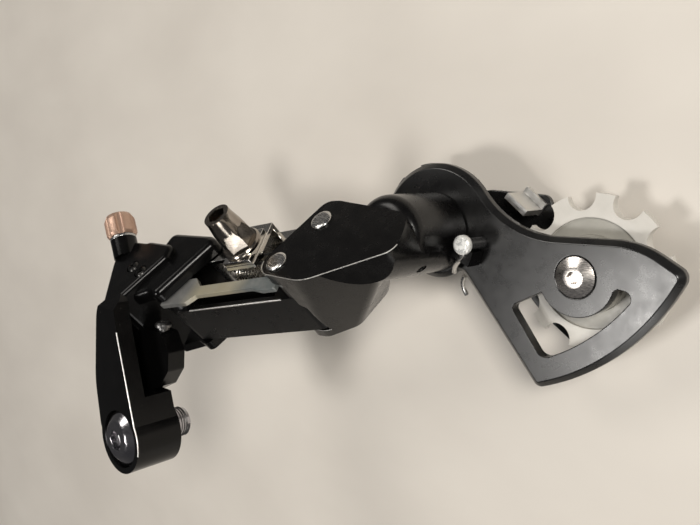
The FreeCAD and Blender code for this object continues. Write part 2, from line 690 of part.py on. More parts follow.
def anchor_bolt():
    """Tall flared hex head with a socket, on a flange, with its nut under the tab."""
    seat = CLAMP_TAB_LEVEL + SHEET + CLAMP_PLATE
    crown = seat + ANCHOR_FLANGE + ANCHOR_HEAD
    shape = turned([(0.0, CLAMP_TAB_LEVEL - ANCHOR_NUT), (ANCHOR_R, CLAMP_TAB_LEVEL - ANCHOR_NUT),
                    (ANCHOR_R, seat),
                    (ANCHOR_FLANGE_R, seat), (ANCHOR_FLANGE_R, seat + ANCHOR_FLANGE_RIM),
                    (ANCHOR_FOOT_R, seat + ANCHOR_FLANGE), (ANCHOR_TOP_R, crown - ANCHOR_FLANGE),
                    (ANCHOR_TOP_R, crown), (0.0, crown)])
    for index in range(6):
        flat = Part.makeBox(ANCHOR_R, 4 * ANCHOR_R, ANCHOR_HEX,
                            point(ANCHOR_FLAT_R, -2 * ANCHOR_R, seat + ANCHOR_FLANGE))
        shape = shape.cut(spun(flat, 60.0 * index))
    shape = shape.cut(hexagon(ANCHOR_SOCKET_R, crown - ANCHOR_SOCKET, crown + SPARE))
    shape = shape.fuse(hexagon(ANCHOR_NUT_R, CLAMP_TAB_LEVEL - ANCHOR_NUT, CLAMP_TAB_LEVEL))
    return on_link(moved(shape.removeSplitter(), CLAMP_ALONG, CLAMP_ACROSS), UPPER_INNER_PIN)


def return_spring():
    """Close-wound spring from the upper inner pin to the outer link's post."""
    turn = math.radians(LINK_ANGLE_DEG)
    post_x = LINK_LENGTH - SPRING_POST_BACK
    post_y = SPRING_POST_ACROSS
    end = (UPPER_OUTER_PIN[0] + post_x * math.cos(turn) - post_y * math.sin(turn),
           UPPER_OUTER_PIN[1] + post_x * math.sin(turn) + post_y * math.cos(turn))
    start = UPPER_INNER_PIN
    span = math.hypot(end[0] - start[0], end[1] - start[1])
    heading = math.degrees(math.atan2(end[1] - start[1], end[0] - start[0]))
    body_length = span - 2 * SPRING_HOOK
    body = coil(SPRING_R, SPRING_WIRE_R, body_length, SPRING_TURNS)
    body.translate(point(0, 0, SPRING_HOOK))
    shape = [body]
    for at, reach, eye in ((0.0, SPRING_HOOK, PIN_R), (span, -SPRING_HOOK, SPRING_POST_R)):
        sign = 1.0 if reach > 0 else -1.0
        loop_r = eye + SPRING_WIRE_R + CLEAR
        loop = sleeve(loop_r + SPRING_WIRE_R, loop_r - SPRING_WIRE_R, -SPRING_WIRE_R, SPRING_WIRE_R)
        loop.rotate(ORIGIN, point(0, 1, 0), 90)
        loop.translate(point(0, 0, at))
        foot = point(0, 0, at + sign * loop_r)
        tip = point(SPRING_R, 0, at + reach)
        leg = Part.makeCylinder(SPRING_WIRE_R, (tip - foot).Length, foot, tip - foot)
        shape.append(loop)
        shape.append(leg)
    spring = shape[0].fuse(shape[1:])
    spring.rotate(ORIGIN, point(0, 1, 0), 90)
    spring.rotate(ORIGIN, Z_AXIS, heading)
    spring.translate(point(start[0], start[1], SPRING_LEVEL))
    return slanted(spring)


# Lower knuckle
def knuckle_outline(corners, front_corner):
    """Knuckle outline in the linkage's frame, from its front point round to the shoulder by the inner pin."""
    x, y = LOWER_OUTER_PIN
    shoulder = beside(along(LOWER_INNER_PIN, LOBE_R), -LOBE_R)
    front = (x + KNUCKLE_FRONT[0], y + KNUCKLE_FRONT[1], front_corner)
    placed = [(x + across, y + rise, radius) for across, rise, radius in corners]
    return [front] + placed + [shoulder + (KNUCKLE_SHOULDER_R,)]


def knuckle_shell():
    """Tapered casting between its low and high outlines, with a neck that runs into the cage barrel."""
    low_corner, high_corner = KNUCKLE_FRONT_R
    low = rounded_wire(knuckle_outline(KNUCKLE_LOW, low_corner), YOKE_LOW)
    high = knuckle_outline(KNUCKLE_HIGH, high_corner)
    taper = Part.makeLoft([low, rounded_wire(high, YOKE_HIGH)], True, True)
    under_top = slanted(slab(high, -BEYOND, YOKE_HIGH))
    neck = rod(BARREL_R, BARREL_END, BARREL_TOP + BEYOND, CAGE_PIVOT).common(under_top)
    return slanted(taper).fuse(neck)


def knuckle_slot():
    """Space for the two links' lower ends, with the holes for their pins."""
    outer = LOWER_OUTER_PIN
    inner = LOWER_INNER_PIN
    front = outer[1] - EYE_SPACE
    slot_low = beside(outer, EYE_SPACE + CLEAR)
    slot_high = along(beside(inner, EYE_SPACE + CLEAR), 3 * LOBE_R)
    slot = polygon([(-BEYOND, -BEYOND), (outer[0] + CLEAR, -BEYOND), (outer[0] + SLOT_NOSE, front),
                    (slot_low[0], front), slot_low, slot_high, (-BEYOND, slot_high[1])], SLOT_LOW, SLOT_HIGH)
    for spot in (outer, inner):
        slot = slot.fuse(rod(PIN_R, YOKE_LOW - SPARE, YOKE_HIGH + SPARE, spot))
    return slanted(slot)


def stop_lug():
    """Block on the barrel that the cage's stop pin rests against."""
    pin_radius = math.hypot(*STOP_PIN_SPOT)
    pin_deg = math.degrees(math.atan2(STOP_PIN_SPOT[1], STOP_PIN_SPOT[0]))
    shut_deg = pin_deg - math.degrees((STOP_PIN_R + CLEAR) / pin_radius)
    ring = sleeve(pin_radius + STOP_PIN_R, BARREL_R - SPARE, BARREL_END, BARREL_END + STOP_LUG_RISE)
    reach = 3.0 * BARREL_R
    corners = [(0.0, 0.0), step_from((0.0, 0.0), reach, shut_deg - STOP_LUG_DEG),
               step_from((0.0, 0.0), reach, shut_deg)]
    lug = ring.common(polygon(corners, BARREL_END, BARREL_TOP))
    return moved(lug, *CAGE_PIVOT)


def set_screw_place(shape):
    x, y = step_from(CAGE_PIVOT, BARREL_R, SET_SCREW_DEG)
    angle = math.radians(SET_SCREW_DEG)
    return aimed(shape, (x, y, SET_SCREW_Z), (math.cos(angle), math.sin(angle), 0.0))


def knuckle_body():
    barrel = rod(BARREL_R, BARREL_END, BARREL_TOP, CAGE_PIVOT)
    barrel = barrel.makeFillet(BARREL_ROUND, edges_at(barrel, BARREL_TOP))
    body = knuckle_shell().fuse([barrel, stop_lug()]).cut(knuckle_slot())
    cavity_top = BARREL_END + SPRING_CAVITY
    body = body.cut(rod(SPRING_CAVITY_R, BARREL_END - SPARE, cavity_top, CAGE_PIVOT))
    body = body.cut(rod(AXLE_R + RUNNING, cavity_top - SPARE, BARREL_TOP - AXLE_TIP + CLEAR, CAGE_PIVOT))
    body = body.cut(set_screw_place(rod(SET_SCREW_R, -SET_SCREW_LENGTH - SPARE, BARREL_R)))
    return body.removeSplitter()


def set_screw():
    screw = rod(SET_SCREW_R, -SET_SCREW_LENGTH, -SET_SCREW_SINK)
    screw = screw.cut(hexagon(SET_SCREW_SOCKET_R, -SET_SCREW_SINK - SET_SCREW_SOCKET, 0.0))
    return set_screw_place(screw)


def torsion_spring():
    low = CAGE_FRONT + TORSION_WIRE_R + CLEAR
    room = BARREL_END + SPRING_CAVITY - CLEAR - TORSION_WIRE_R - low
    spring = coil(TORSION_R, TORSION_WIRE_R, room, TORSION_TURNS)
    return moved(spring, CAGE_PIVOT[0], CAGE_PIVOT[1], low)


# Cage
def fan_arc(radius, start_deg, end_deg, level):
    spots = []
    for degrees in (start_deg, (start_deg + end_deg) / 2.0, end_deg):
        x, y = step_from(FAN_ARC_CENTRE, radius, degrees)
        spots.append(point(x, y, level))
    return spots


def outer_plate_blank():
    """Disc at the pivot with a hollow below it, a swept neck and a fan round the tension pulley."""
    level = PLATE_BACK
    neck_y = FAN_TOP + NECK_R
    neck_x = math.sqrt((DISC_R + NECK_R) ** 2 - neck_y ** 2)
    joint_deg = math.degrees(math.atan2(neck_y, neck_x))
    disc_start = step_from((0.0, 0.0), DISC_R, joint_deg)
    disc_end = step_from((0.0, 0.0), DISC_R, DISC_END_DEG)
    disc_mid = step_from((0.0, 0.0), DISC_R, (joint_deg + DISC_END_DEG) / 2.0)
    neck_mid_deg = (180.0 + joint_deg + 270.0) / 2.0
    neck_mid = step_from((neck_x, neck_y), NECK_R, neck_mid_deg)
    hollow_r = DISC_R - HOLLOW_INSET
    hollow_start = step_from((0.0, 0.0), hollow_r, HOLLOW_START_DEG)
    hollow_mid = step_from((0.0, 0.0), hollow_r, (HOLLOW_START_DEG + HOLLOW_END_DEG) / 2.0)
    hollow_end = step_from((0.0, 0.0), hollow_r, HOLLOW_END_DEG)
    tip, sweep, corner = fan_arc(FAN_ARC_R, FAN_TIP_DEG, FAN_CORNER_DEG, level)

    def line(start, end):
        return Part.LineSegment(start, end).toShape()

    def at(spot):
        return point(spot[0], spot[1], level)

    edges = [Part.Arc(at(disc_start), at(disc_mid), at(disc_end)).toShape(),
             line(at(disc_end), at(hollow_start)),
             Part.Arc(at(hollow_start), at(hollow_mid), at(hollow_end)).toShape(),
             line(at(hollow_end), tip),
             Part.Arc(tip, sweep, corner).toShape(),
             line(corner, at(FAN_CREST)),
             line(at(FAN_CREST), at((neck_x, FAN_TOP))),
             Part.Arc(at((neck_x, FAN_TOP)), at(neck_mid), at(disc_start)).toShape()]
    blank = Part.Face(Part.Wire(edges)).extrude(point(0, 0, OUTER_PLATE))
    blank = blank.makeFillet(FAN_CORNER_R, upright_edges(blank, [(corner.x, corner.y)], NEAR))
    blank = blank.makeFillet(FAN_TIP_R, upright_edges(blank, [(tip.x, tip.y)], NEAR))
    blank = blank.makeFillet(FAN_CREST_R, upright_edges(blank, [FAN_CREST], NEAR))
    blank = blank.makeFillet(NOTCH_R, upright_edges(blank, [hollow_start, hollow_end], NEAR))
    return blank


def crescent():
    """Cut-out under the tension bolt, following the fan's curved edge."""
    level = PLATE_BACK - SPARE
    tip, sweep, end = fan_arc(FAN_ARC_R - FAN_RIM, CRESCENT_TIP_DEG, CRESCENT_END_DEG, level)
    hub = point(*TENSION_SPOT, level)
    start = point(*step_from(FAN_ARC_CENTRE, FAN_ARC_R - FAN_RIM - CRESCENT_DEPTH, CRESCENT_START_DEG), level)
    edges = [Part.LineSegment(start, tip).toShape(), Part.Arc(tip, sweep, end).toShape(),
             Part.LineSegment(end, hub).toShape(), Part.LineSegment(hub, start).toShape()]
    hole = Part.Face(Part.Wire(edges)).extrude(point(0, 0, OUTER_PLATE + 2 * SPARE))
    hole = hole.cut(rod(BOLT_BOSS_R, level - SPARE, CAGE_FRONT + 2 * SPARE, TENSION_SPOT))
    by_boss = hub + (end - hub).normalize() * BOLT_BOSS_R
    for corner, radius in ((tip, CRESCENT_TIP_R), (end, CRESCENT_END_R), (by_boss, CRESCENT_ROUND),
                           (start, CRESCENT_ROUND)):
        hole = hole.makeFillet(radius, upright_edges(hole, [(corner.x, corner.y)], NEAR))
    return hole


def outer_cage_plate():
    plate = outer_plate_blank()
    plate = plate.makeChamfer(FAN_BEVEL, edges_at(plate, CAGE_FRONT))
    plate = plate.cut(crescent())
    dish = turned([(0.0, CAGE_FRONT + SPARE), (DISH_R + DISH_DEPTH, CAGE_FRONT + SPARE), (DISH_R, CAGE_FRONT),
                   (PULLEY_HEAD_R + CLEAR, CAGE_FRONT - DISH_DEPTH), (0.0, CAGE_FRONT - DISH_DEPTH)])
    plate = plate.cut(moved(dish, *TENSION_SPOT))
    plate = plate.cut(rod(PULLEY_BOLT_R, PLATE_BACK - SPARE, CAGE_FRONT, TENSION_SPOT))
    plate = plate.cut(rod(PULLEY_BOLT_R, PLATE_BACK - SPARE, CAGE_FRONT - DISH_DEPTH, GUIDE_SPOT))
    plate = plate.cut(rod(AXLE_R, PLATE_BACK - SPARE, CAGE_FRONT + SPARE))
    plate = plate.cut(rod(STOP_PIN_R, PLATE_BACK - SPARE, CAGE_FRONT + SPARE, STOP_PIN_SPOT))
    return moved(plate, *CAGE_PIVOT)


def inner_cage_plate():
    """Flat plate behind both pulleys, with an upper lobe for the chain keeper."""
    plate = slab(INNER_OUTLINE, INNER_BACK, INNER_FRONT)
    for spot in (TENSION_SPOT, GUIDE_SPOT):
        plate = plate.cut(rod(PULLEY_BOLT_R, INNER_BACK - SPARE, INNER_FRONT + SPARE, spot))
    return moved(plate, *CAGE_PIVOT)


def cage_axle():
    groove_z = SET_SCREW_Z
    reach = AXLE_R - AXLE_GROOVE
    axle = rod(AXLE_R, PLATE_BACK, BARREL_TOP - AXLE_TIP)
    ring = sleeve(AXLE_R + SPARE, reach, groove_z - SET_SCREW_R - CLEAR, groove_z + SET_SCREW_R + CLEAR)
    return moved(axle.cut(ring), *CAGE_PIVOT)


def stop_pin():
    top = CAGE_FRONT + STOP_PIN_RISE
    pin = turned([(0.0, PLATE_BACK), (STOP_PIN_R, PLATE_BACK), (STOP_PIN_R, top - STOP_PIN_HEAD),
                  (STOP_PIN_HEAD_R, top - STOP_PIN_HEAD), (STOP_PIN_HEAD_R, top - STOP_PIN_CROWN),
                  (STOP_PIN_CROWN_R, top), (0.0, top)])
    return moved(pin, CAGE_PIVOT[0] + STOP_PIN_SPOT[0], CAGE_PIVOT[1] + STOP_PIN_SPOT[1])


def chain_keeper():
    """Bent steel tab that stands on the inner plate's upper lobe."""
    foot = Part.makeBox(KEEPER_WIDTH, KEEPER_FOOT, KEEPER_FOOT_THICK,
                        point(-KEEPER_WIDTH / 2.0, -KEEPER_FOOT_BACK, INNER_FRONT))
    wall = Part.makeBox(KEEPER_WIDTH, KEEPER_THICK, KEEPER_RISE,
                        point(-KEEPER_WIDTH / 2.0, -KEEPER_THICK, INNER_FRONT))
    tab = spun(wall.fuse(foot).removeSplitter(), KEEPER_DEG)
    return moved(tab, CAGE_PIVOT[0] + KEEPER_SPOT[0], CAGE_PIVOT[1] + KEEPER_SPOT[1])


def cage_spot(spot):
    return (CAGE_PIVOT[0] + spot[0], CAGE_PIVOT[1] + spot[1])


def tension_pulley_bolt():
    seat = CAGE_FRONT - DISH_DEPTH
    crown = seat + PULLEY_HEAD
    bolt = turned([(0.0, INNER_BACK), (PULLEY_BOLT_R, INNER_BACK), (PULLEY_BOLT_R, seat),
                   (PULLEY_HEAD_R, seat),
                   (PULLEY_HEAD_R, seat + PULLEY_HEAD_RIM), (PULLEY_CROWN_R, crown), (0.0, crown)])
    bolt = bolt.cut(hexagon(PULLEY_BOLT_R, crown - PULLEY_SOCKET, crown + SPARE))
    return moved(bolt, *cage_spot(TENSION_SPOT))


def guide_pulley_bolt():
    crown = INNER_BACK - PULLEY_HEAD
    bolt = turned([(0.0, crown), (PULLEY_CROWN_R, crown), (PULLEY_HEAD_R, INNER_BACK - PULLEY_HEAD_RIM),
                   (PULLEY_HEAD_R, INNER_BACK), (PULLEY_BOLT_R, INNER_BACK),
                   (PULLEY_BOLT_R, CAGE_FRONT - DISH_DEPTH), (0.0, CAGE_FRONT - DISH_DEPTH)])
    bolt = bolt.cut(hexagon(PULLEY_BOLT_R, crown - SPARE, crown + PULLEY_SOCKET))
    return moved(bolt, *cage_spot(GUIDE_SPOT))


def pulley_bush(spot):
    return moved(sleeve(PULLEY_BUSH_R, PULLEY_BOLT_R, INNER_FRONT, PLATE_BACK), *cage_spot(spot))


def pulley(spot, teeth, turn_deg):
    """Toothed wheel with a raised rim, a thin web and a wide hub."""
    pitch_r = CHAIN_PITCH / 2.0 / math.sin(math.pi / teeth)
    root = pitch_r - ROLLER_SEAT_R
    rim_in = root - RIM_WIDTH
    bore = PULLEY_BUSH_R + RUNNING
    half = [(bore, HUB_HALF), (HUB_R, HUB_HALF), (HUB_R, WEB_HALF), (rim_in, WEB_HALF), (rim_in, RIM_HALF),
            (root, RIM_HALF), (pitch_r + TOOTH_RISE, TOOTH_HALF)]
    outline = half + [(radius, -height) for radius, height in reversed(half)]
    wheel = turned(outline)
    for index in range(teeth):
        seat = step_from((0.0, 0.0), pitch_r, turn_deg + 360.0 * (index + 0.5) / teeth)
        wheel = wheel.cut(rod(ROLLER_SEAT_R, -RIM_HALF - SPARE, RIM_HALF + SPARE, seat))
    x, y = cage_spot(spot)
    return moved(wheel, x, y, PULLEY_Z)


def dust_cap(spot, side):
    """Dished cap between a pulley's hub and a cage plate."""
    bore = PULLEY_BUSH_R
    outline = [(bore, 0.0), (CAP_FOOT_R, 0.0), (CAP_R, CAP_RIM), (CAP_R, CAP_THICK), (bore, CAP_THICK)]
    cap = turned(outline)
    x, y = cage_spot(spot)
    if side > 0:
        return moved(cap.mirror(ORIGIN, Z_AXIS), x, y, PLATE_BACK)
    return moved(cap, x, y, INNER_FRONT)


def build():
    """Every node's name with its solid."""
    nodes = {
        "hanger_bolt": hanger_bolt(),
        "retaining_clip": retaining_clip(),
        "thrust_washer": thrust_washer(),
        "bracket_body": bracket_body(),
        "bracket_bush": bracket_bush(),
        "upper_outer_pin": upper_pin(UPPER_OUTER_PIN),
        "upper_inner_pin": upper_pin(UPPER_INNER_PIN),
        "stop_screw": stop_screw(),
        "barrel_adjuster": barrel_adjuster(),
        "adjuster_spring": adjuster_spring(),
        "outer_link": outer_link(),
        "link_plate": link_plate(),
        "inner_link": inner_link(),
        "clamp_plate": clamp_plate(),
        "anchor_bolt": anchor_bolt(),
        "return_spring": return_spring(),
        "knuckle_body": knuckle_body(),
        "lower_outer_pin": lower_pin(LOWER_OUTER_PIN),
        "lower_inner_pin": lower_pin(LOWER_INNER_PIN),
        "knuckle_set_screw": set_screw(),
        "cage_torsion_spring": torsion_spring(),
        "outer_cage_plate": outer_cage_plate(),
        "inner_cage_plate": inner_cage_plate(),
        "cage_axle": cage_axle(),
        "cage_stop_pin": stop_pin(),
        "chain_keeper": chain_keeper(),
        "tension_pulley_bolt": tension_pulley_bolt(),
        "guide_pulley_bolt": guide_pulley_bolt(),
    }
    for name, x, y in LIMIT_SPOTS:
        nodes[name] = limit_screw(x, y)
    pulleys = (("guide", GUIDE_SPOT, GUIDE_TEETH, GUIDE_TURN_DEG),
               ("tension", TENSION_SPOT, TENSION_TEETH, TENSION_TURN_DEG))
    for name, spot, teeth, turn_deg in pulleys:
        nodes[name + "_pulley"] = pulley(spot, teeth, turn_deg)
        nodes[name + "_bush"] = pulley_bush(spot)
        nodes[name + "_outer_cap"] = dust_cap(spot, 1)
        nodes[name + "_inner_cap"] = dust_cap(spot, -1)
    return nodes


def main():
    os.makedirs("parts", exist_ok=True)
    for name, shape in build().items():
        shape.exportStep("parts/" + name + ".step")
        print(name, len(shape.Solids), shape.isValid(), round(shape.Volume, 1))


main()
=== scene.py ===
import json
import math

import bmesh
import bpy
from mathutils import Matrix, Vector


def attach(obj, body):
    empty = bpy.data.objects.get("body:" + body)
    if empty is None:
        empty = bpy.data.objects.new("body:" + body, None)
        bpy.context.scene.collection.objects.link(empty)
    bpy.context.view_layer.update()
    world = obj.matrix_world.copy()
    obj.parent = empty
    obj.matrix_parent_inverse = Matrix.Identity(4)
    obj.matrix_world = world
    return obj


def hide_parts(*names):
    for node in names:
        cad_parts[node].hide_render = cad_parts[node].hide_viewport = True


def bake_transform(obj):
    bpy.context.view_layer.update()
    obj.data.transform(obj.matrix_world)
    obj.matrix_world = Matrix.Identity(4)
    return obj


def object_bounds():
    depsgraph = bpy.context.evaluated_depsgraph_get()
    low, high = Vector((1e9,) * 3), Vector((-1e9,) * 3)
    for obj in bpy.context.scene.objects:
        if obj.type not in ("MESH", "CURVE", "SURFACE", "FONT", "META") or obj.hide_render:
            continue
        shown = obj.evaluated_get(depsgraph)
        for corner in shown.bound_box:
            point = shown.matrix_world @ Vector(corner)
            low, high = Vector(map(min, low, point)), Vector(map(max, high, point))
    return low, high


# Looks of a rear derailleur: satin black castings, chrome clamp parts, steel pins and plastic pulleys.
# Metres, in the part's own frame. A finished piece stands for a solid, or trims one.
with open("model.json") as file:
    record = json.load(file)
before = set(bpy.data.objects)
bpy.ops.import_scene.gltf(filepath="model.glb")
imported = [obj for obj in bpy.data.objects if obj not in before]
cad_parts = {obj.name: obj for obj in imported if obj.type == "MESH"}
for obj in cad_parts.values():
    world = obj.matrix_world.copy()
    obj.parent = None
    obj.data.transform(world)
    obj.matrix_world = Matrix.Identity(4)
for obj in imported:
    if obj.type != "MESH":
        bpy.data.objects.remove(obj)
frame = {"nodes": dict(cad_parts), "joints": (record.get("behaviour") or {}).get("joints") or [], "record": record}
NODES = frame["nodes"]
BODIES = frame["record"]["behaviour"]["bodies"]
JOINT_SPOT = {joint["child"]: Vector(joint["pos_m"]) for joint in frame["joints"]}
JOINT_AXIS = {joint["child"]: Vector(joint["axis"]) for joint in frame["joints"]}
CAD_LOW, CAD_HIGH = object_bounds()
MM = 0.001

# Camera fitted to the photograph: 700 pixels wide, 720 pixels of focal length
IMAGE_WIDTH = 700.0
FOCAL_PIXELS = 720.0
SENSOR_WIDTH = 36.0
CAMERA_PLACE = Vector((0.2042, 0.0874, 0.1278))
CAMERA_RIGHT = Vector((0.7287, 0.0, -0.685))
CAMERA_UP = Vector((-0.0940, 0.9906, -0.100))
NEAR_CLIP = 5.0 * MM

# Directions of the slanted linkage, from its joints, and the knuckle's lower side, square to the pins
PINS_UP = JOINT_AXIS["outer_link"].normalized()
LINK_ALONG = (JOINT_SPOT["knuckle"] - JOINT_SPOT["outer_link"]).normalized()
LINK_ACROSS = PINS_UP.cross(LINK_ALONG)
ACROSS_DOWN = Vector((1.0, 0.0, 0.0)).cross(PINS_UP)


def body_of(node):
    for body, members in BODIES.items():
        if node in members:
            return body
    raise KeyError(node)


def link_point(along, across, up):
    """Point on the outer link, in millimetres from the middle of its upper pin."""
    return JOINT_SPOT["outer_link"] + (LINK_ALONG * along + LINK_ACROSS * across + PINS_UP * up) * MM


# Finishes
NOISE_ROUGHNESS = 0.55
SPECK_CORE = 0.4


class Finish:
    """A node material that reads object coordinates, with its principled shader ready."""

    def __init__(self, name):
        self.material = bpy.data.materials.new(name)
        self.material.use_nodes = True
        self.tree = self.material.node_tree
        self.shader = self.tree.nodes["Principled BSDF"]
        self.place = self.add("ShaderNodeTexCoord").outputs["Object"]

    def add(self, kind, **settings):
        node = self.tree.nodes.new(kind)
        for key, value in settings.items():
            setattr(node, key, value)
        return node

    def join(self, start, end):
        self.tree.links.new(start, end)

    def stretched(self, scale):
        mapping = self.add("ShaderNodeMapping")
        mapping.inputs["Scale"].default_value = scale
        self.join(self.place, mapping.inputs["Vector"])
        return mapping.outputs["Vector"]

    def noise(self, scale, detail=4.0, place=None):
        noise = self.add("ShaderNodeTexNoise")
        noise.inputs["Scale"].default_value = scale
        noise.inputs["Detail"].default_value = detail
        noise.inputs["Roughness"].default_value = NOISE_ROUGHNESS
        self.join(place or self.place, noise.inputs["Vector"])
        return noise.outputs["Fac"]

    def specks(self, scale, size):
        """One where a small speck lies, zero elsewhere."""
        cells = self.add("ShaderNodeTexVoronoi")
        cells.inputs["Scale"].default_value = scale
        self.join(self.place, cells.inputs["Vector"])
        return self.ranged(cells.outputs["Distance"], size, size * SPECK_CORE, 0.0, 1.0)

    def ranged(self, value, low, high, to_low, to_high):
        span = self.add("ShaderNodeMapRange", clamp=True)
        for name, number in (("From Min", low), ("From Max", high), ("To Min", to_low), ("To Max", to_high)):
            span.inputs[name].default_value = number
        self.join(value, span.inputs["Value"])
        return span.outputs["Result"]

    def times(self, first, second):
        product = self.add("ShaderNodeMath", operation="MULTIPLY")
        self.join(first, product.inputs[0])
        self.join(second, product.inputs[1])
        return product.outputs["Value"]

    def mixed(self, share, first, second):
        """Colour from first to second; each is a colour tuple or an output."""
        mix = self.add("ShaderNodeMix", data_type="RGBA")
        self.join(share, mix.inputs["Factor"])
        for colour, socket in ((first, mix.inputs[6]), (second, mix.inputs[7])):
            if isinstance(colour, tuple):
                socket.default_value = colour + (1.0,)
            else:
                self.join(colour, socket)
        return mix.outputs[2]

    def colour(self, value):
        self.join(value, self.shader.inputs["Base Color"])

    def roughness(self, value):
        self.join(value, self.shader.inputs["Roughness"])

    def bump(self, height, strength, distance):
        bump = self.add("ShaderNodeBump")
        bump.inputs["Strength"].default_value = strength
        bump.inputs["Distance"].default_value = distance
        self.join(height, bump.inputs["Height"])
        self.join(bump.outputs["Normal"], self.shader.inputs["Normal"])

    def fixed(self, **values):
        for name, value in values.items():
            self.shader.inputs[name.replace("_", " ")].default_value = value


DUST = (0.20, 0.19, 0.17)


def satin_black(name, deep, pale, smooth, rough, shine):
    """Black coating on cast alloy, with a fine grain, handling marks and a little dust."""
    finish = Finish(name)
    tone = finish.mixed(finish.noise(160.0), deep, pale)
    dusty = finish.ranged(finish.noise(90.0), 0.54, 0.68, 0.0, 0.3)
    finish.colour(finish.mixed(finish.times(finish.specks(420.0, 0.08), dusty), tone, DUST))
    finish.roughness(finish.ranged(finish.noise(240.0, 6.0), 0.3, 0.7, smooth, rough))
    finish.bump(finish.noise(3000.0, 2.0), 0.02, 0.0001)
    finish.fixed(Specular_IOR_Level=shine)
    return finish.material


def polished_chrome(name, deep, pale, smooth, rough):
    """Bright plating with faint hazing and fine rub marks."""
    finish = Finish(name)
    finish.colour(finish.mixed(finish.noise(260.0, 5.0), deep, pale))
    marks = finish.noise(900.0, 6.0, finish.stretched((1.0, 6.0, 1.0)))
    finish.roughness(finish.ranged(marks, 0.35, 0.75, smooth, rough))
    finish.bump(marks, 0.04, 0.0001)
    finish.fixed(Metallic=1.0)
    return finish.material


def turned_steel(name, deep, pale, smooth, rough):
    """Satin steel with streaks from turning and drawing."""
    finish = Finish(name)
    streaks = finish.noise(700.0, 5.0, finish.stretched((1.0, 1.0, 9.0)))
    finish.colour(finish.mixed(streaks, deep, pale))
    finish.roughness(finish.ranged(streaks, 0.3, 0.7, smooth, rough))
    finish.bump(streaks, 0.08, 0.0001)
    finish.fixed(Metallic=1.0)
    return finish.material


# Tints of the link strip and where, along X, each comes in and is full
STRIP_GREY = (0.20, 0.20, 0.195)
STRIP_STRAW = (0.44, 0.40, 0.29)
STRIP_BLUE = (0.15, 0.17, 0.175)
STRIP_RUBBED = (0.46, 0.45, 0.41)
STRAW_FROM, STRAW_FULL = 16.0 * MM, 22.0 * MM
BLUE_FROM, BLUE_FULL = 34.0 * MM, 41.0 * MM


def tinted_steel(name):
    """Steel strip that goes from grey through straw to blue-grey along the link."""
    finish = Finish(name)
    parts = finish.add("ShaderNodeSeparateXYZ")
    finish.join(finish.place, parts.inputs["Vector"])
    straw = finish.ranged(parts.outputs["X"], STRAW_FROM, STRAW_FULL, 0.0, 1.0)
    blue = finish.ranged(parts.outputs["X"], BLUE_FROM, BLUE_FULL, 0.0, 1.0)
    tone = finish.mixed(blue, finish.mixed(straw, STRIP_GREY, STRIP_STRAW), STRIP_BLUE)
    rubbed = finish.ranged(finish.noise(240.0), 0.4, 0.7, 0.0, 0.3)
    finish.colour(finish.mixed(rubbed, tone, STRIP_RUBBED))
    finish.roughness(finish.ranged(finish.noise(900.0), 0.3, 0.7, 0.34, 0.46))
    finish.bump(finish.noise(2200.0), 0.03, 0.0001)
    finish.fixed(Metallic=0.45)
    return finish.material


ZINC_DULL = (0.55, 0.56, 0.55)
ZINC_BRIGHT = (0.93, 0.93, 0.90)
SHANK_DARK = (0.05, 0.05, 0.05)
HEAD_FADE = 0.2 * MM


def zinc_head(name, level):
    """White zinc on a pin's head above a level, and dark steel on its shank below."""
    finish = Finish(name)
    parts = finish.add("ShaderNodeSeparateXYZ")
    finish.join(finish.place, parts.inputs["Vector"])
    head = finish.ranged(parts.outputs["Z"], level - HEAD_FADE, level + HEAD_FADE, 0.0, 1.0)
    bloom = finish.ranged(finish.noise(900.0, 3.0), 0.36, 0.50, 0.0, 1.0)
    finish.colour(finish.mixed(head, SHANK_DARK, finish.mixed(bloom, ZINC_DULL, ZINC_BRIGHT)))
    finish.roughness(finish.ranged(finish.noise(1300.0), 0.3, 0.7, 0.22, 0.40))
    finish.bump(finish.noise(1500.0, 4.0), 0.15, 0.0002)
    finish.fixed(Metallic=0.3)
    return finish.material


def copper_anodised(name):
    """Copper-tinted knob with a clouded, satin skin."""
    finish = Finish(name)
    cloud = finish.noise(420.0, 5.0)
    finish.colour(finish.mixed(cloud, (0.46, 0.29, 0.21), (0.58, 0.40, 0.31)))
    finish.roughness(finish.ranged(finish.noise(1500.0), 0.3, 0.7, 0.28, 0.42))
    finish.bump(finish.noise(3000.0), 0.03, 0.0001)
    finish.fixed(Metallic=0.55)
    return finish.material


def moulded_plastic(name, deep, pale, smooth, rough):
    """Matte moulded plastic with a mottled skin."""
    finish = Finish(name)
    finish.colour(finish.mixed(finish.noise(300.0, 6.0), deep, pale))
    finish.roughness(finish.ranged(finish.noise(900.0), 0.3, 0.7, smooth, rough))
    finish.bump(finish.noise(2600.0, 4.0), 0.12, 0.0002)
    finish.fixed(Specular_IOR_Level=0.4)
    return finish.material


WEB_DEEP, WEB_PALE = (0.30, 0.29, 0.255), (0.42, 0.405, 0.36)
RIM_DEEP, RIM_PALE = (0.60, 0.58, 0.53), (0.74, 0.71, 0.66)
STEP_FADE = 0.3 * MM


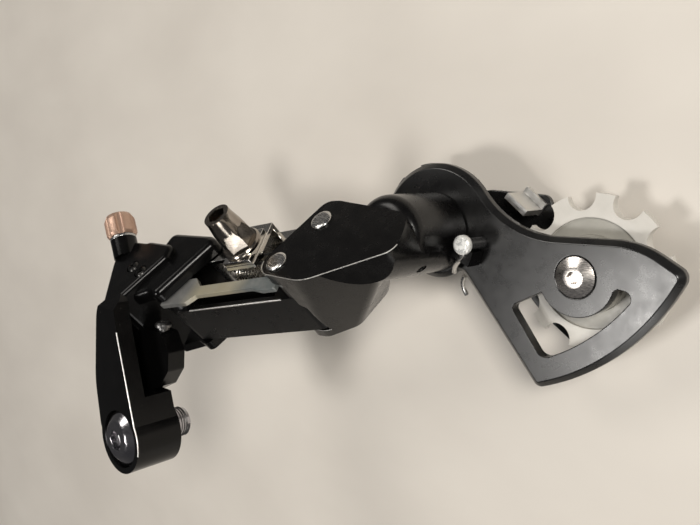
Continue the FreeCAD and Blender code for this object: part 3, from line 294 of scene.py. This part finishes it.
def stepped_pulley(name, spot, step):
    """Light grey wheel whose web and hub, inside the step's radius, are a duller grey."""
    finish = Finish(name)
    flat = finish.add("ShaderNodeMapping")
    flat.inputs["Location"].default_value = (-spot.x, -spot.y, 0.0)
    flat.inputs["Scale"].default_value = (1.0, 1.0, 0.0)
    finish.join(finish.place, flat.inputs["Vector"])
    reach = finish.add("ShaderNodeVectorMath", operation="LENGTH")
    finish.join(flat.outputs["Vector"], reach.inputs[0])
    rim = finish.ranged(reach.outputs["Value"], step - STEP_FADE, step + STEP_FADE, 0.0, 1.0)
    mottle = finish.noise(300.0, 6.0)
    web_tone = finish.mixed(mottle, WEB_DEEP, WEB_PALE)
    rim_tone = finish.mixed(mottle, RIM_DEEP, RIM_PALE)
    finish.colour(finish.mixed(rim, web_tone, rim_tone))
    finish.roughness(finish.ranged(finish.noise(900.0), 0.3, 0.7, 0.28, 0.42))
    finish.bump(finish.noise(2600.0, 4.0), 0.08, 0.0002)
    return finish.material


FLOOR_DEEP, FLOOR_PALE = (0.68, 0.635, 0.575), (0.76, 0.715, 0.65)


def pale_floor(name):
    """Plain pale floor: warm light grey with a faint, wide mottle."""
    finish = Finish(name)
    patches = finish.noise(9.0, 4.0, finish.stretched((1.0, 1.6, 1.0)))
    finish.colour(finish.mixed(finish.ranged(patches, 0.3, 0.7, 0.0, 1.0), FLOOR_DEEP, FLOOR_PALE))
    finish.roughness(finish.ranged(patches, 0.3, 0.7, 0.40, 0.55))
    finish.bump(finish.noise(60.0, 8.0), 0.03, 0.002)
    return finish.material


# Level of the stop pin's head and radius of the tension pulley's step
PIN_HEAD_LEVEL = -34.5 * MM
PULLEY_STEP_R = 14.75 * MM

# Each finish: deep and pale tone, smoothest and roughest, and for the blacks how strongly they shine
GLOSS_BLACK = satin_black("gloss_black_bracket",
                          (0.0016, 0.0016, 0.0017), (0.0034, 0.0033, 0.0033), 0.18, 0.27, 0.22)
BLACK = satin_black("satin_black_coating",
                    (0.0022, 0.0021, 0.0021), (0.0042, 0.0040, 0.0040), 0.26, 0.32, 0.62)
KNUCKLE_BLACK = satin_black("black_knuckle",
                            (0.0018, 0.0017, 0.0018), (0.0038, 0.0036, 0.0036), 0.20, 0.30, 0.36)
PLATE_BLACK = satin_black("satin_black_plate",
                          (0.0035, 0.0035, 0.0036), (0.0080, 0.0079, 0.0078), 0.25, 0.33, 0.8)
CHROME = polished_chrome("polished_chrome", (0.62, 0.60, 0.57), (0.88, 0.86, 0.82), 0.06, 0.24)
DARK_CHROME = polished_chrome("dark_chrome", (0.36, 0.35, 0.375), (0.52, 0.51, 0.53), 0.12, 0.26)
WARM_CHROME = polished_chrome("warm_chrome", (0.24, 0.21, 0.18), (0.42, 0.38, 0.335), 0.12, 0.28)
BOLT_CHROME = polished_chrome("bolt_chrome", (0.70, 0.65, 0.61), (0.88, 0.84, 0.80), 0.22, 0.38)
ZINC = zinc_head("white_zinc_head", PIN_HEAD_LEVEL)
STEEL = turned_steel("turned_steel", (0.36, 0.36, 0.36), (0.62, 0.62, 0.61), 0.20, 0.40)
RIVET_STEEL = turned_steel("bright_rivet_steel", (0.52, 0.52, 0.51), (0.80, 0.79, 0.77), 0.14, 0.34)
THREAD_STEEL = turned_steel("grey_thread_steel", (0.12, 0.12, 0.12), (0.26, 0.255, 0.25), 0.30, 0.46)
DARK_STEEL = turned_steel("dark_screw_steel", (0.03, 0.03, 0.03), (0.09, 0.088, 0.085), 0.24, 0.40)
SPRING_STEEL = turned_steel("bright_spring_wire", (0.58, 0.55, 0.50), (0.82, 0.79, 0.73), 0.18, 0.34)
# Bright steel: the chain keeper's own finish, the bright line along the outer link's rail, and the colour of the
# painted highlight lines along the castings' creases
BRIGHT_STEEL_AND_HIGHLIGHT = turned_steel("bright_steel_and_painted_highlight", (0.62, 0.61, 0.59), (0.88, 0.87, 0.84), 0.30, 0.50)
TINTED_STEEL = tinted_steel("tinted_link_strip")
COPPER = copper_anodised("copper_tinted_knob")
GREY_PLASTIC = stepped_pulley("light_grey_pulley", JOINT_SPOT["tension_pulley"], PULLEY_STEP_R)
CAP_GREY = moulded_plastic("grey_pulley_cap", (0.20, 0.195, 0.175), (0.30, 0.29, 0.26), 0.32, 0.46)
DARK_PLASTIC = moulded_plastic("dark_pulley", (0.010, 0.010, 0.011), (0.025, 0.025, 0.025), 0.36, 0.52)

NODE_FINISH = {
    "bracket_body": GLOSS_BLACK, "outer_link": BLACK, "knuckle_body": KNUCKLE_BLACK,
    "outer_cage_plate": PLATE_BLACK, "inner_cage_plate": PLATE_BLACK, "link_plate": TINTED_STEEL,
    "hanger_bolt": DARK_CHROME, "inner_link": CHROME, "clamp_plate": CHROME, "anchor_bolt": WARM_CHROME,
    "tension_pulley_bolt": BOLT_CHROME, "guide_pulley_bolt": CHROME, "chain_keeper": BRIGHT_STEEL_AND_HIGHLIGHT,
    "cage_stop_pin": ZINC,
    "lower_outer_pin": RIVET_STEEL, "lower_inner_pin": RIVET_STEEL,
    "barrel_adjuster": COPPER, "tension_pulley": GREY_PLASTIC, "guide_pulley": DARK_PLASTIC,
    "tension_outer_cap": CAP_GREY, "tension_inner_cap": CAP_GREY,
    "return_spring": STEEL, "cage_torsion_spring": THREAD_STEEL, "adjuster_spring": STEEL,
    "high_limit_screw": DARK_STEEL, "low_limit_screw": DARK_STEEL, "stop_screw": THREAD_STEEL,
    "knuckle_set_screw": DARK_STEEL,
}

# Edge rounding of the castings and fittings, in millimetres
EDGE_WIDTH = {
    "bracket_body": 1.8, "outer_link": 0.7, "knuckle_body": 1.0,
    "outer_cage_plate": 0.5, "inner_cage_plate": 0.35,
    "hanger_bolt": 0.3, "anchor_bolt": 0.25, "clamp_plate": 0.3, "inner_link": 0.3, "barrel_adjuster": 0.25,
    "tension_pulley": 0.35, "guide_pulley": 0.35, "guide_pulley_bolt": 0.25, "adjuster_spring": 0.2,
    "chain_keeper": 0.35, "cage_stop_pin": 0.25, "link_plate": 0.25,
    "lower_outer_pin": 0.2, "lower_inner_pin": 0.2, "high_limit_screw": 0.12, "low_limit_screw": 0.12,
    "stop_screw": 0.15, "tension_outer_cap": 0.25, "guide_outer_cap": 0.25,
    "tension_inner_cap": 0.25, "guide_inner_cap": 0.25,
}
SHARP_ANGLE = math.radians(32.0)
FLAT_ANGLE = math.radians(0.6)
EDGE_STEPS = 3
FLAT_WEIGHT = 100
MERGE_GAP = 0.002 * MM


# Pieces
def new_piece(name, mesh, material):
    piece = bpy.data.objects.new(name, mesh)
    bpy.context.scene.collection.objects.link(piece)
    mesh.materials.clear()
    mesh.materials.append(material)
    return piece


def evaluated(piece):
    """Replace a piece's mesh by what its modifiers make of it, and drop them."""
    graph = bpy.context.evaluated_depsgraph_get()
    mesh = bpy.data.meshes.new_from_object(piece.evaluated_get(graph))
    piece.modifiers.clear()
    piece.data = mesh
    mesh.name = piece.name


def smooth_by_angle(mesh):
    mesh.shade_smooth()
    mesh.set_sharp_from_angle(angle=SHARP_ANGLE)


def merged_copy(node):
    """Copy of a solid's mesh with its flats merged."""
    mesh = NODES[node].data.copy()
    form = bmesh.new()
    form.from_mesh(mesh)
    bmesh.ops.remove_doubles(form, verts=form.verts, dist=MERGE_GAP)
    bmesh.ops.dissolve_limit(form, angle_limit=FLAT_ANGLE, verts=form.verts, edges=form.edges)
    form.to_mesh(mesh)
    form.free()
    return mesh


def stand_for(piece, node):
    """Hand a finished piece in as what is seen of a node."""
    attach(piece, body_of(node))
    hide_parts(node)


def rounded_copy(node, width):
    """Copy of a solid with merged flats and rounded edges, which stands for the node."""
    mesh = merged_copy(node)
    if node == "hanger_bolt":
        thin_stub(mesh)
    if node in LIMIT_SCREWS:
        ease_shank(mesh, JOINT_SPOT[body_of(node)])
    piece = new_piece(node + "_finished", mesh, NODE_FINISH.get(node, STEEL))
    bevel = piece.modifiers.new("edges", "BEVEL")
    bevel.width = width * MM
    bevel.segments = EDGE_STEPS
    bevel.limit_method = "ANGLE"
    bevel.angle_limit = SHARP_ANGLE
    bevel.use_clamp_overlap = True
    bevel.miter_outer = "MITER_ARC"
    mesh.shade_smooth()
    normals = piece.modifiers.new("flat_faces", "WEIGHTED_NORMAL")
    normals.weight = FLAT_WEIGHT
    evaluated(piece)
    stand_for(piece, node)


# Hanger stub, whose core is cut down so that the thread's crests reach its full radius
STUB_R = 5.0 * MM
STUB_LENGTH = 6.0 * MM
THREAD_DEPTH = 0.5 * MM
THREAD_PITCH = 1.0 * MM
THREAD_MARGIN = 0.7 * MM
STUB_ROOT = -0.01 * MM


def thin_stub(mesh):
    core = STUB_R - THREAD_DEPTH
    for corner in mesh.vertices:
        reach = corner.co.xy.length
        if corner.co.z < STUB_ROOT and reach > core:
            corner.co.xy *= core / reach


# Limit screws, whose shanks are eased so that they turn freely in their holes
LIMIT_SCREWS = ("high_limit_screw", "low_limit_screw")
LIMIT_SHANK_R = 1.5 * MM
LIMIT_SHANK_EASE = 0.08 * MM


def ease_shank(mesh, spot):
    for corner in mesh.vertices:
        reach = corner.co - spot
        radial = reach - reach.project(PINS_UP)
        if abs(radial.length - LIMIT_SHANK_R) < LIMIT_SHANK_EASE:
            corner.co -= radial.normalized() * LIMIT_SHANK_EASE


# Steps along the curves that the trees sweep and sides of what is swept
COIL_STEPS, COIL_SIDES = 28, 10
THREAD_STEPS, THREAD_SIDES = 40, 4
BEND_STEPS, BEND_SIDES = 24, 12
BEAD_SIDES = 8


def node_tree(name, sizes):
    """Empty geometry tree with one named input for each size and an output."""
    tree = bpy.data.node_groups.new(name, "GeometryNodeTree")
    tree.interface.new_socket("Geometry", in_out="OUTPUT", socket_type="NodeSocketGeometry")
    for size, value in sizes.items():
        kind = "NodeSocketInt" if isinstance(value, int) else "NodeSocketFloat"
        socket = tree.interface.new_socket(size, in_out="INPUT", socket_type=kind)
        socket.default_value = value
    return tree, tree.nodes.new("NodeGroupInput"), tree.nodes.new("NodeGroupOutput")


def close_tree(tree, geometry, output, material):
    """Realize the instances, set the material and reach the output."""
    realize = tree.nodes.new("GeometryNodeRealizeInstances")
    coat = tree.nodes.new("GeometryNodeSetMaterial")
    coat.inputs["Material"].default_value = material
    tree.links.new(geometry, realize.inputs["Geometry"])
    tree.links.new(realize.outputs["Geometry"], coat.inputs["Geometry"])
    tree.links.new(coat.outputs["Geometry"], output.inputs["Geometry"])


def grown(name, tree, sizes, material, place, start=None):
    """Plain mesh piece made by a geometry tree with the given sizes, carried to its place."""
    piece = new_piece(name, start or bpy.data.meshes.new(name), material)
    modifier = piece.modifiers.new("shape", "NODES")
    modifier.node_group = tree
    for item in tree.interface.items_tree:
        if item.in_out == "INPUT" and item.name in sizes:
            modifier[item.identifier] = sizes[item.name]
    evaluated(piece)
    piece.data.transform(place)
    smooth_by_angle(piece.data)
    return piece


def add_node(tree, kind, **inputs):
    """Node whose inputs are set to numbers or joined to outputs."""
    node = tree.nodes.new(kind)
    for name, value in inputs.items():
        socket = node.inputs[name.replace("_", " ")]
        if isinstance(value, bpy.types.NodeSocket):
            tree.links.new(value, socket)
        else:
            socket.default_value = value
    return node


def helix(tree, given, steps):
    """Helix along Z with the tree's own Turns, Radius and Length."""
    spiral = add_node(tree, "GeometryNodeCurveSpiral", Resolution=steps, Rotations=given.outputs["Turns"],
                      Start_Radius=given.outputs["Radius"], End_Radius=given.outputs["Radius"],
                      Height=given.outputs["Length"])
    return spiral.outputs["Curve"]


def swept(tree, curve, radius, sides):
    section = add_node(tree, "GeometryNodeCurvePrimitiveCircle", Resolution=sides, Radius=radius)
    return add_node(tree, "GeometryNodeCurveToMesh", Curve=curve, Profile_Curve=section.outputs["Curve"],
                    Fill_Caps=True).outputs["Mesh"]


def coil_tree(material, sizes):
    """Round wire wound on a helix along Z, with a straight lead from each end to the axis."""
    tree, given, output = node_tree("wound_wire", sizes)
    low_lead = add_node(tree, "ShaderNodeMath", Value=given.outputs["Lead"])
    low_lead.operation = "MULTIPLY"
    low_lead.inputs[1].default_value = -1.0
    high_lead = tree.nodes.new("ShaderNodeMath")
    high_lead.operation = "ADD"
    tree.links.new(given.outputs["Length"], high_lead.inputs[0])
    tree.links.new(given.outputs["Lead"], high_lead.inputs[1])
    curves = add_node(tree, "GeometryNodeJoinGeometry")
    tree.links.new(helix(tree, given, COIL_STEPS), curves.inputs["Geometry"])
    for coil_end, post in ((None, low_lead), (given.outputs["Length"], high_lead)):
        rim = add_node(tree, "ShaderNodeCombineXYZ", X=given.outputs["Radius"])
        if coil_end is not None:
            tree.links.new(coil_end, rim.inputs["Z"])
        axis = add_node(tree, "ShaderNodeCombineXYZ", Z=post.outputs["Value"])
        lead = add_node(tree, "GeometryNodeCurvePrimitiveLine",
                        Start=rim.outputs["Vector"], End=axis.outputs["Vector"])
        tree.links.new(lead.outputs["Curve"], curves.inputs["Geometry"])
    close_tree(tree, swept(tree, curves.outputs["Geometry"], given.outputs["Wire"], COIL_SIDES), output, material)
    return tree


def thread_tree(material, sizes):
    """Ridge of a screw thread wound on a helix along Z, with its crest outward."""
    tree, given, output = node_tree("screw_thread", sizes)
    upright = tree.nodes.new("GeometryNodeSetCurveNormal")
    upright.mode = "Z_UP"
    tree.links.new(helix(tree, given, THREAD_STEPS), upright.inputs["Curve"])
    close_tree(tree, swept(tree, upright.outputs["Curve"], given.outputs["Depth"], THREAD_SIDES), output, material)
    return tree


def bent_wire_tree(material):
    """Round wire bent along one smooth curve."""
    tree, given, output = node_tree("bent_wire", {"Wire": HOOK_WIRE})
    ends = {}
    for name in ("Start", "Start Handle", "End Handle", "End"):
        tree.interface.new_socket(name, in_out="INPUT", socket_type="NodeSocketVector")
        ends[name.replace(" ", "_")] = given.outputs[name]
    curve = add_node(tree, "GeometryNodeCurvePrimitiveBezierSegment", Resolution=BEND_STEPS, **ends)
    close_tree(tree, swept(tree, curve.outputs["Curve"], given.outputs["Wire"], BEND_SIDES), output, material)
    return tree


def aim(start, end):
    """Matrix that carries Z at the origin to a line from start towards end."""
    turn = (end - start).to_track_quat("Z", "Y").to_matrix().to_4x4()
    return Matrix.Translation(start) @ turn


# Return spring: level over the pins' middle, and its post on the outer link as along and across, in millimetres
SPRING_LEVEL = 1.0
SPRING_POST = (39.8, 9.0)
SPRING_HOOK = 6.0 * MM
SPRING_TURNS = 13.0
SPRING_R = 2.3 * MM
SPRING_WIRE = 0.45 * MM


def return_spring():
    """Wire coil from the upper inner pin to the outer link's post."""
    start = JOINT_SPOT["inner_link"] + PINS_UP * SPRING_LEVEL * MM
    end = link_point(*SPRING_POST, SPRING_LEVEL)
    length = (end - start).length - 2 * SPRING_HOOK
    place = aim(start, end) @ Matrix.Translation((0.0, 0.0, SPRING_HOOK))
    sizes = {"Turns": SPRING_TURNS, "Radius": SPRING_R, "Wire": SPRING_WIRE, "Length": length,
             "Lead": SPRING_HOOK}
    spring = grown("return_spring_wire", coil_tree(SPRING_STEEL, sizes), sizes, SPRING_STEEL, place)
    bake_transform(spring)
    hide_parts("return_spring")


def stub_thread():
    length = STUB_LENGTH - 2 * THREAD_MARGIN
    sizes = {"Turns": length / THREAD_PITCH, "Radius": STUB_R - THREAD_DEPTH, "Depth": THREAD_DEPTH,
             "Length": length}
    place = Matrix.Translation((0.0, 0.0, THREAD_MARGIN - STUB_LENGTH))
    thread = grown("hanger_stub_thread", thread_tree(THREAD_STEEL, sizes), sizes, THREAD_STEEL, place)
    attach(thread, "hanger")


# Ends of the cage spring: one hooked under the stop pin's head, one bent down below the plate, in millimetres
HOOK_WIRE = 0.75 * MM
HOOK_PATHS = {
    "cage_spring_hook": {"Start": (93.6, 64.6, -35.4), "Start Handle": (92.4, 60.0, -35.6),
                         "End Handle": (88.0, 60.0, -38.6), "End": (86.2, 56.4, -41.4)},
    "cage_spring_tail": {"Start": (86.0, 54.6, -47.0), "Start Handle": (83.8, 52.4, -48.0),
                         "End Handle": (83.6, 50.4, -49.6), "End": (84.4, 48.4, -50.6)},
}


def cage_spring_ends():
    tree = bent_wire_tree(RIVET_STEEL)
    for name, path in HOOK_PATHS.items():
        sizes = {end: [value * MM for value in spot] for end, spot in path.items()}
        sizes["Wire"] = HOOK_WIRE
        wire = grown(name, tree, sizes, RIVET_STEEL, Matrix.Identity(4))
        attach(wire, "cage")


# Bright steel line along the outer link's rail, from end to end as along, across and up, in millimetres
RAIL_EDGE = ((6.0, -4.0, 4.5), (43.0, -4.0, 4.5))
RAIL_EDGE_WIRE = 0.3 * MM


def bright_rail_line():
    low, high = (link_point(*end) for end in RAIL_EDGE)
    sizes = {"Start": list(low), "Start Handle": list(low.lerp(high, 1.0 / 3.0)),
             "End Handle": list(low.lerp(high, 2.0 / 3.0)), "End": list(high), "Wire": RAIL_EDGE_WIRE}
    edge = grown("outer_link_bright_line", bent_wire_tree(BRIGHT_STEEL_AND_HIGHLIGHT), sizes, BRIGHT_STEEL_AND_HIGHLIGHT, Matrix.Identity(4))
    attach(edge, "outer_link")


# Painted highlight lines on the castings' creases, standing in for glints of light on their edges: how square a
# face looks out, how far its side turns, and the ridge's limits
CREASE_ANGLE = math.radians(25.0)
FACING = 0.97
RIDGE_TURN = 0.3
CREASE_TURN = 0.7
CREASE_DOWN = 0.15
RIDGE_FACE = 17.8 * MM
RIDGE_LEFT = 0.5 * MM
RIDGE_FOOT = -3.0 * MM


def on_arm_ridge(face, side, middle):
    """Right edge of the bracket arm's front face, beside and above the bolt."""
    turned = face.z > FACING and side.x > RIDGE_TURN
    return turned and middle.z > RIDGE_FACE and middle.x > RIDGE_LEFT and middle.y > RIDGE_FOOT


def on_knuckle_crease(face, side, middle):
    """Lower edge of the knuckle's top face."""
    turned = side.dot(PINS_UP) < CREASE_TURN and side.dot(ACROSS_DOWN) > CREASE_DOWN
    return face.dot(PINS_UP) > FACING and turned


def crease_mesh(node, wanted):
    """Edges of a solid, without their faces, that a test picks by their two faces' normals and their middle: the
    paths of painted highlight lines.
    """
    form = bmesh.new()
    form.from_mesh(merged_copy(node))
    form.normal_update()
    kept = set()
    for edge in form.edges:
        if len(edge.link_faces) == 2 and edge.calc_face_angle() > CREASE_ANGLE:
            first, second = edge.link_faces
            middle = (edge.verts[0].co + edge.verts[1].co) / 2.0
            if wanted(first.normal, second.normal, middle) or wanted(second.normal, first.normal, middle):
                kept.add(edge)
    bmesh.ops.delete(form, geom=[edge for edge in form.edges if edge not in kept], context="EDGES_FACES")
    bmesh.ops.delete(form, geom=form.faces[:], context="FACES_ONLY")
    mesh = bpy.data.meshes.new(node + "_crease")
    form.to_mesh(mesh)
    form.free()
    return mesh


def painted_highlight_bead_tree(material):
    """Thin round bead along the edges of the mesh it is given, drawn as a painted highlight line."""
    tree, given, output = node_tree("painted_highlight_bead", {"Wire": ARM_HIGHLIGHT_BEAD})
    edges = tree.interface.new_socket("Edges", in_out="INPUT", socket_type="NodeSocketGeometry")
    tree.interface.move(edges, 0)
    curves = add_node(tree, "GeometryNodeMeshToCurve", Mesh=given.outputs["Edges"])
    close_tree(tree, swept(tree, curves.outputs["Curve"], given.outputs["Wire"], BEAD_SIDES), output, material)
    return tree


ARM_HIGHLIGHT_BEAD = 0.2 * MM
KNUCKLE_HIGHLIGHT_BEAD = 0.14 * MM
HIGHLIGHT_CREASES = {"bracket_body": (on_arm_ridge, ARM_HIGHLIGHT_BEAD), "knuckle_body": (on_knuckle_crease, KNUCKLE_HIGHLIGHT_BEAD)}


# Bright beads along the bracket arm's ridge and the knuckle's crease: painted highlights, not bare metal
def painted_highlight_creases():
    tree = painted_highlight_bead_tree(BRIGHT_STEEL_AND_HIGHLIGHT)
    for node, (wanted, wire) in HIGHLIGHT_CREASES.items():
        crease = crease_mesh(node, wanted)
        bead = grown(node + "_painted_highlight_crease", tree, {"Wire": wire}, BRIGHT_STEEL_AND_HIGHLIGHT, Matrix.Identity(4), crease)
        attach(bead, body_of(node))


# Tension pulley bolt: low cone with a small hexagonal socket, as rings of (radius, height over the plate's face),
# in millimetres
PLATE_FACE = -42.5
BOLT_RINGS = [(2.5, -19.2), (2.5, -1.1), (4.4, -1.1), (5.3, -0.15), (5.3, 0.1), (2.9, 1.2), (2.5, 1.3)]
BOLT_SOCKET_R = 1.8
BOLT_SOCKET_LEVELS = (1.3, -0.6)
BOLT_STEPS = 60
HEX_STEP = math.pi / 3.0


def ring_of(radius, height, hexagonal):
    """One closed ring of corners about Z."""
    corners = []
    for step in range(BOLT_STEPS):
        turn = 2.0 * math.pi * step / BOLT_STEPS
        reach = radius
        if hexagonal:
            reach = radius * math.cos(HEX_STEP / 2.0) / math.cos(turn % HEX_STEP - HEX_STEP / 2.0)
        corners.append(Vector((reach * math.cos(turn), reach * math.sin(turn), height)) * MM)
    return corners


def tension_bolt():
    """Turned bolt on the tension pulley's axis, closed at its foot and at the bottom of its socket."""
    foot = Vector((*JOINT_SPOT["tension_pulley"].xy, PLATE_FACE * MM))
    rings = [ring_of(radius, height, False) for radius, height in BOLT_RINGS]
    rings += [ring_of(BOLT_SOCKET_R, height, True) for height in BOLT_SOCKET_LEVELS]
    form = bmesh.new()
    rows = [[form.verts.new(corner + foot) for corner in ring] for ring in rings]
    for low, high in zip(rows, rows[1:]):
        for step in range(BOLT_STEPS):
            after = (step + 1) % BOLT_STEPS
            form.faces.new((low[step], low[after], high[after], high[step]))
    form.faces.new(rows[0][::-1])
    form.faces.new(rows[-1])
    mesh = bpy.data.meshes.new("tension_pulley_bolt_finished")
    form.to_mesh(mesh)
    form.free()
    bolt = new_piece("tension_pulley_bolt_finished", mesh, BOLT_CHROME)
    smooth_by_angle(mesh)
    stand_for(bolt, "tension_pulley_bolt")


# Stage
FLOOR_HALF = 1.2
FLOOR_CORNERS = ((-1, -1), (1, -1), (1, 1), (-1, 1))


def lay_floor(level):
    mesh = bpy.data.meshes.new("floor")
    mesh.from_pydata([(x * FLOOR_HALF, y * FLOOR_HALF, level) for x, y in FLOOR_CORNERS], [], [(0, 1, 2, 3)])
    floor = new_piece("floor", mesh, pale_floor("plain_pale_floor"))


# Soft lamps: place from the part's middle, width, power and colour
LAMPS = {
    "ceiling_main": ((-0.42, 0.55, 0.72), 0.40, 2.4, (1.0, 0.96, 0.90)),
    "sheen_panel": ((-0.206, -0.205, 0.89), 0.18, 3.0, (1.0, 0.97, 0.93)),
    "lamp_right": ((0.55, 0.26, 0.62), 0.24, 4.8, (1.0, 0.96, 0.90)),
    "front_fill": ((0.42, -0.66, 0.24), 0.28, 1.2, (1.0, 0.98, 0.95)),
}
ROOM_LOW = (0.22, 0.21, 0.20, 1.0)
ROOM_HIGH = (0.10, 0.10, 0.105, 1.0)
ROOM_FROM, ROOM_TO = -0.1, 0.7
ROOM_STRENGTH = 0.5


def area_light(name, place, target, size, power, colour):
    data = bpy.data.lights.new(name, "AREA")
    data.size = size
    data.energy = power
    data.color = colour
    light = bpy.data.objects.new(name, data)
    bpy.context.scene.collection.objects.link(light)
    light.matrix_world = aim(place, place + (place - target))


def set_lights():
    middle = (CAD_LOW + CAD_HIGH) / 2.0
    for name, (offset, size, power, colour) in LAMPS.items():
        area_light(name, middle + Vector(offset), middle, size, power, colour)


def set_room():
    """Even grey room, a little lighter low down than overhead."""
    world = bpy.data.worlds.new("soft_room")
    world.use_nodes = True
    tree = world.node_tree
    parts = tree.nodes.new("ShaderNodeSeparateXYZ")
    tree.links.new(tree.nodes.new("ShaderNodeTexCoord").outputs["Generated"], parts.inputs["Vector"])
    rise = tree.nodes.new("ShaderNodeMapRange")
    rise.inputs["From Min"].default_value = ROOM_FROM
    rise.inputs["From Max"].default_value = ROOM_TO
    tree.links.new(parts.outputs["Z"], rise.inputs["Value"])
    tone = tree.nodes.new("ShaderNodeMix")
    tone.data_type = "RGBA"
    tone.inputs[6].default_value = ROOM_LOW
    tone.inputs[7].default_value = ROOM_HIGH
    tree.links.new(rise.outputs["Result"], tone.inputs["Factor"])
    background = tree.nodes["Background"]
    tree.links.new(tone.outputs[2], background.inputs["Color"])
    background.inputs["Strength"].default_value = ROOM_STRENGTH
    bpy.context.scene.world = world
    bpy.context.scene.view_settings.view_transform = "Standard"


def set_camera():
    data = bpy.data.cameras.new("photo_camera")
    data.sensor_fit = "HORIZONTAL"
    data.sensor_width = SENSOR_WIDTH
    data.lens = FOCAL_PIXELS / IMAGE_WIDTH * SENSOR_WIDTH
    data.clip_start = NEAR_CLIP
    camera = bpy.data.objects.new("photo_camera", data)
    bpy.context.scene.collection.objects.link(camera)
    right = CAMERA_RIGHT.normalized()
    back = right.cross(CAMERA_UP).normalized()
    up = back.cross(right)
    axes = Matrix((right, up, back)).transposed().to_4x4()
    camera.matrix_world = Matrix.Translation(CAMERA_PLACE) @ axes
    bpy.context.scene.camera = camera


def finish_nodes():
    """Coat every solid, and stand a rounded copy for each that has an edge width."""
    for node, solid in NODES.items():
        solid.data.materials.clear()
        solid.data.materials.append(NODE_FINISH.get(node, STEEL))
    for node, width in EDGE_WIDTH.items():
        rounded_copy(node, width)


finish_nodes()
return_spring()
stub_thread()
cage_spring_ends()
bright_rail_line()
painted_highlight_creases()
tension_bolt()
lay_floor(CAD_LOW.z)
set_lights()
set_room()
set_camera()
